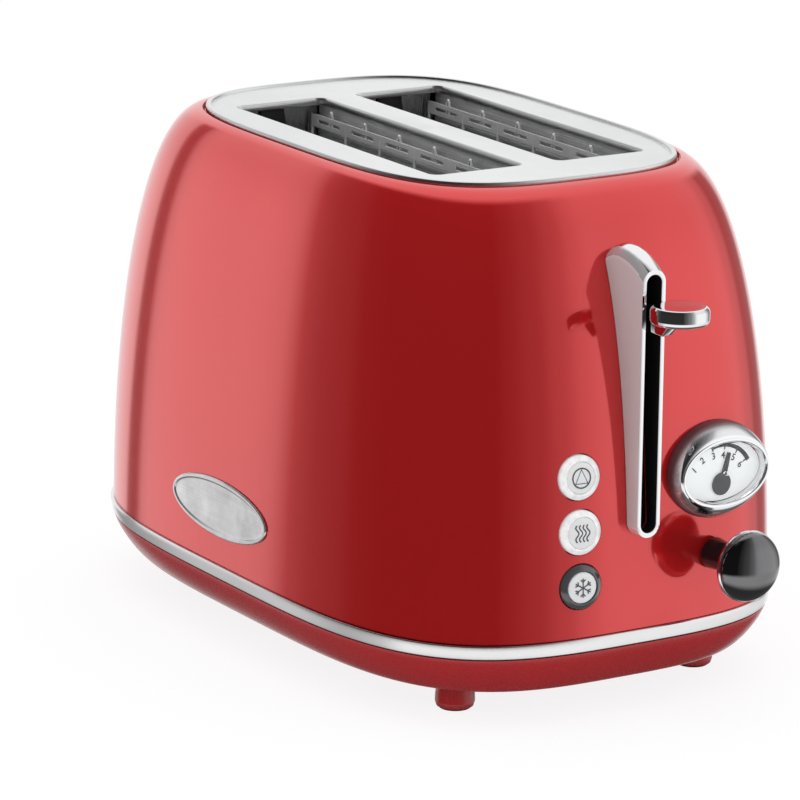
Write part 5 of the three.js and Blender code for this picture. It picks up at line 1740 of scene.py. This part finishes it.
@dataclass
class Studio:
    """Camera, pale floor, photo tent and soft lamp."""

    camera_at: Triple = (-900.3, -1431.7, 520.8)
    azimuth: float = -32.163
    elevation: float = 14.721
    roll: float = 0.788
    focal: float = 4884.013
    centre: Pair = (432.476, 409.471)
    picture: float = 800.0
    level: float = 0.85
    top_box: float = 1.02
    under: float = 0.12
    floor_grey: float = 0.82
    floor_level: float = 1.08
    floor_glow: float = 0.8
    lamp_height: float = 2.2
    lamp_size: float = 1.8
    lamp_power: float = 9.0
    side_tent: tuple[Pair, ...] = (
        (-180, 1.0), (-102.5, 1.1), (-101, 0.2), (-98.6, 0.2), (-96.6, 1.0), (-95.0, 1.1), (-90.5, 1.1),
        (-90.1, 0.98), (-89.6, 0.42), (-88.0, 0.26), (-85.5, 0.18), (-82.5, 0.14), (-77.3, 0.05), (-70, 0.03),
        (-27, 0.03), (-22.2, 0.09), (-12.5, 0.22), (-5.6, 0.46), (-1.5, 0.83), (0.2, 1.02), (6, 1.1), (22, 1.08),
        (31, 0.7), (36, 0.3), (46, 0.3), (52, 1.0), (180, 1.0))
    floor_tent: tuple[Pair, ...] = (
        (-180, 0.2), (-106, 0.24), (-97, 0.38), (-93, 0.45), (-90.5, 0.7), (-88, 0.69), (-80, 0.5), (-72, 0.62),
        (-62, 1.07), (-5, 1.07), (12, 0.96), (30, 0.9), (58, 0.6), (180, 0.6))

    def seen_from(self) -> Vector:
        """Direction from the toaster to the camera."""
        az, el = math.radians(self.azimuth), math.radians(self.elevation)
        return Vector((math.sin(az) * math.cos(el), -math.cos(az) * math.cos(el), math.sin(el)))

    def camera(self) -> None:
        """Places the camera where the photograph was taken from."""
        az, roll = math.radians(self.azimuth), math.radians(self.roll)
        back = self.seen_from()
        right = Vector((math.cos(az), math.sin(az), 0.0))
        up = back.cross(right)
        turned_right = right * math.cos(roll) + up * math.sin(roll)
        turned_up = up * math.cos(roll) - right * math.sin(roll)
        data = bpy.data.cameras.new("camera")
        data.sensor_width = 36.0
        data.lens = self.focal / self.picture * data.sensor_width
        data.shift_x = (self.picture / 2 - self.centre[0]) / self.picture
        data.shift_y = (self.centre[1] - self.picture / 2) / self.picture
        data.clip_end = 20.0
        camera = bpy.data.objects.new("camera", data)
        axes = Matrix((turned_right, turned_up, back)).transposed().to_4x4()
        camera.matrix_world = MIDDLE @ shift(*self.camera_at) @ axes
        bpy.context.scene.collection.objects.link(camera)
        bpy.context.scene.camera = camera

    def lamp(self) -> None:
        """Hangs the square soft lamp over the toaster, facing down."""
        data = bpy.data.lights.new("top_box", "AREA")
        data.shape = "RECTANGLE"
        data.size = data.size_y = self.lamp_size
        data.energy = self.lamp_power
        lamp = bpy.data.objects.new("top_box", data)
        lamp.location = (0.0, 0.0, self.lamp_height)
        lamp.rotation_euler = Vector((0.0, 0.0, -1.0)).to_track_quat("-Z", "Y").to_euler()
        lamp.visible_glossy = False
        bpy.context.scene.collection.objects.link(lamp)

    @staticmethod
    def maths(tree: bpy.types.NodeTree, how: str, *values: object) -> object:
        """Adds a Math node on sockets or numbers, and returns its result."""
        return add_node(tree, "Math", dict(enumerate(values)), operation=how).outputs[0]

    @staticmethod
    def ease(tree: bpy.types.NodeTree, value: object, start: float, end: float) -> object:
        """Adds a smooth step from 0 at one value to 1 at another, and returns its result."""
        span = {"Value": value, "From Min": start, "From Max": end}
        return add_node(tree, "MapRange", span, interpolation_type="SMOOTHSTEP").outputs["Result"]

    def horizon(self, tree: bpy.types.NodeTree, turn: object, tent: tuple[Pair, ...]) -> object:
        """Adds the brightness that gloss meets round the horizon.

        Args:
            tree: The world's nodes.
            turn: The azimuth as a share of a full turn.
            tent: Brightness by azimuth in degrees.

        Returns:
            The brightness.
        """
        ramp = add_node(tree, "ValToRGB", {0: turn})
        stops = ramp.color_ramp
        stops.interpolation = "EASE"
        brightest = max(level for _, level in tent)
        while len(stops.elements) < len(tent):
            stops.elements.new(0.5)
        for stop, (degrees, level) in zip(stops.elements, tent):
            stop.position = degrees / 360 + 0.5
            stop.color = (*(3 * (level / brightest,)), 1.0)
        return self.maths(tree, "MULTIPLY", ramp.outputs[0], brightest)

    def world(self) -> None:
        """Sets an even light, white to the camera, and a photo tent with dark gaps to glossy rays.

        The tent is laid out by the slant of the surface that mirrors it to the camera.
        """
        world = bpy.data.worlds.new("studio")
        bpy.context.scene.world = world
        world.use_nodes = True
        world.cycles.sampling_method = "NONE"
        tree = world.node_tree
        where = add_node(tree, "TexCoord").outputs["Generated"]
        halfway = add_node(tree, "VectorMath", {0: where, 1: self.seen_from()}, operation="ADD").outputs[0]
        facing = add_node(tree, "VectorMath", {0: halfway}, operation="LENGTH").outputs["Value"]
        slant = add_node(tree, "VectorMath", {0: halfway}, operation="NORMALIZE").outputs[0]
        across, along, up = add_node(tree, "SeparateXYZ", {0: slant}).outputs
        azimuth = self.maths(tree, "ARCTAN2", across, self.maths(tree, "MULTIPLY", along, -1.0))
        turn = self.maths(tree, "MULTIPLY_ADD", azimuth, 0.5 / math.pi, 0.5)
        light = self.horizon(tree, turn, self.side_tent)
        dimmed = self.maths(tree, "MULTIPLY", light, 0.85)
        ground = self.horizon(tree, turn, self.floor_tent)
        for start, end, level in ((0.25, 0.55, dimmed), (0.75, 0.85, self.top_box), (-0.03, -0.12, ground),
                                  (-0.22, -0.4, self.under)):
            light = add_mix(tree, self.ease(tree, up, start, end), light, level)
        light = add_mix(tree, self.ease(tree, facing, 0.3, 0.55), 1.0, light)
        rays = add_node(tree, "LightPath").outputs
        light = add_mix(tree, rays["Is Glossy Ray"], self.level, light)
        for ray in ("Is Transmission Ray", "Is Camera Ray"):
            light = add_mix(tree, rays[ray], light, 1.0)
        feed(tree, tree.nodes["Background"], {"Strength": light, "Color": (1.0, 1.0, 1.0)})

    def floor(self) -> None:
        """Lays the pale floor, which keeps the object's shadow and lets gloss see the tent."""
        clear_selection()
        bpy.ops.mesh.primitive_plane_add(size=16.0, location=(0.0, 0.0, -0.0002))
        floor = bpy.context.object
        floor.name = "studio_floor"
        made = bpy.data.materials.new("studio_floor")
        made.use_nodes = True
        tree = made.node_tree
        shader = feed(tree, tree.nodes["Principled BSDF"], {
            "Base Color": 3 * (self.floor_grey,), "Roughness": 0.9, "Specular IOR Level": 0.1})
        rays = add_node(tree, "LightPath").outputs
        glow = add_node(tree, "Emission", {"Color": (1.0, 1.0, 1.0), "Strength": self.floor_level})
        share = self.maths(tree, "MULTIPLY", rays["Is Camera Ray"], self.floor_glow)
        lit = add_node(tree, "MixShader", {0: share, 1: shader.outputs[0], 2: glow.outputs[0]})
        gone = add_node(tree, "BsdfTransparent")
        last = add_node(tree, "MixShader", {0: rays["Is Glossy Ray"], 1: lit.outputs[0], 2: gone.outputs[0]})
        feed(tree, tree.nodes["Material Output"], {"Surface": last.outputs[0]})
        floor.data.materials.append(made)

    def build(self) -> None:
        """Sets up the whole studio."""
        self.camera()
        self.world()
        self.floor()
        self.lamp()


def main() -> None:
    """Builds the studio and the toaster, piece by piece."""
    bpy.context.scene.view_settings.view_transform = "Standard"
    Studio().build()
    shell = Shell()
    shell.build()
    shell.badge()
    TopPlate().build()
    Base().build()
    Lever().build()
    Buttons().build()
    Gauge().build()
    Knob().build()
    Toasting().build()
    CordBoot().build()
    dress_solids()


if __name__ == "__main__":
    main()
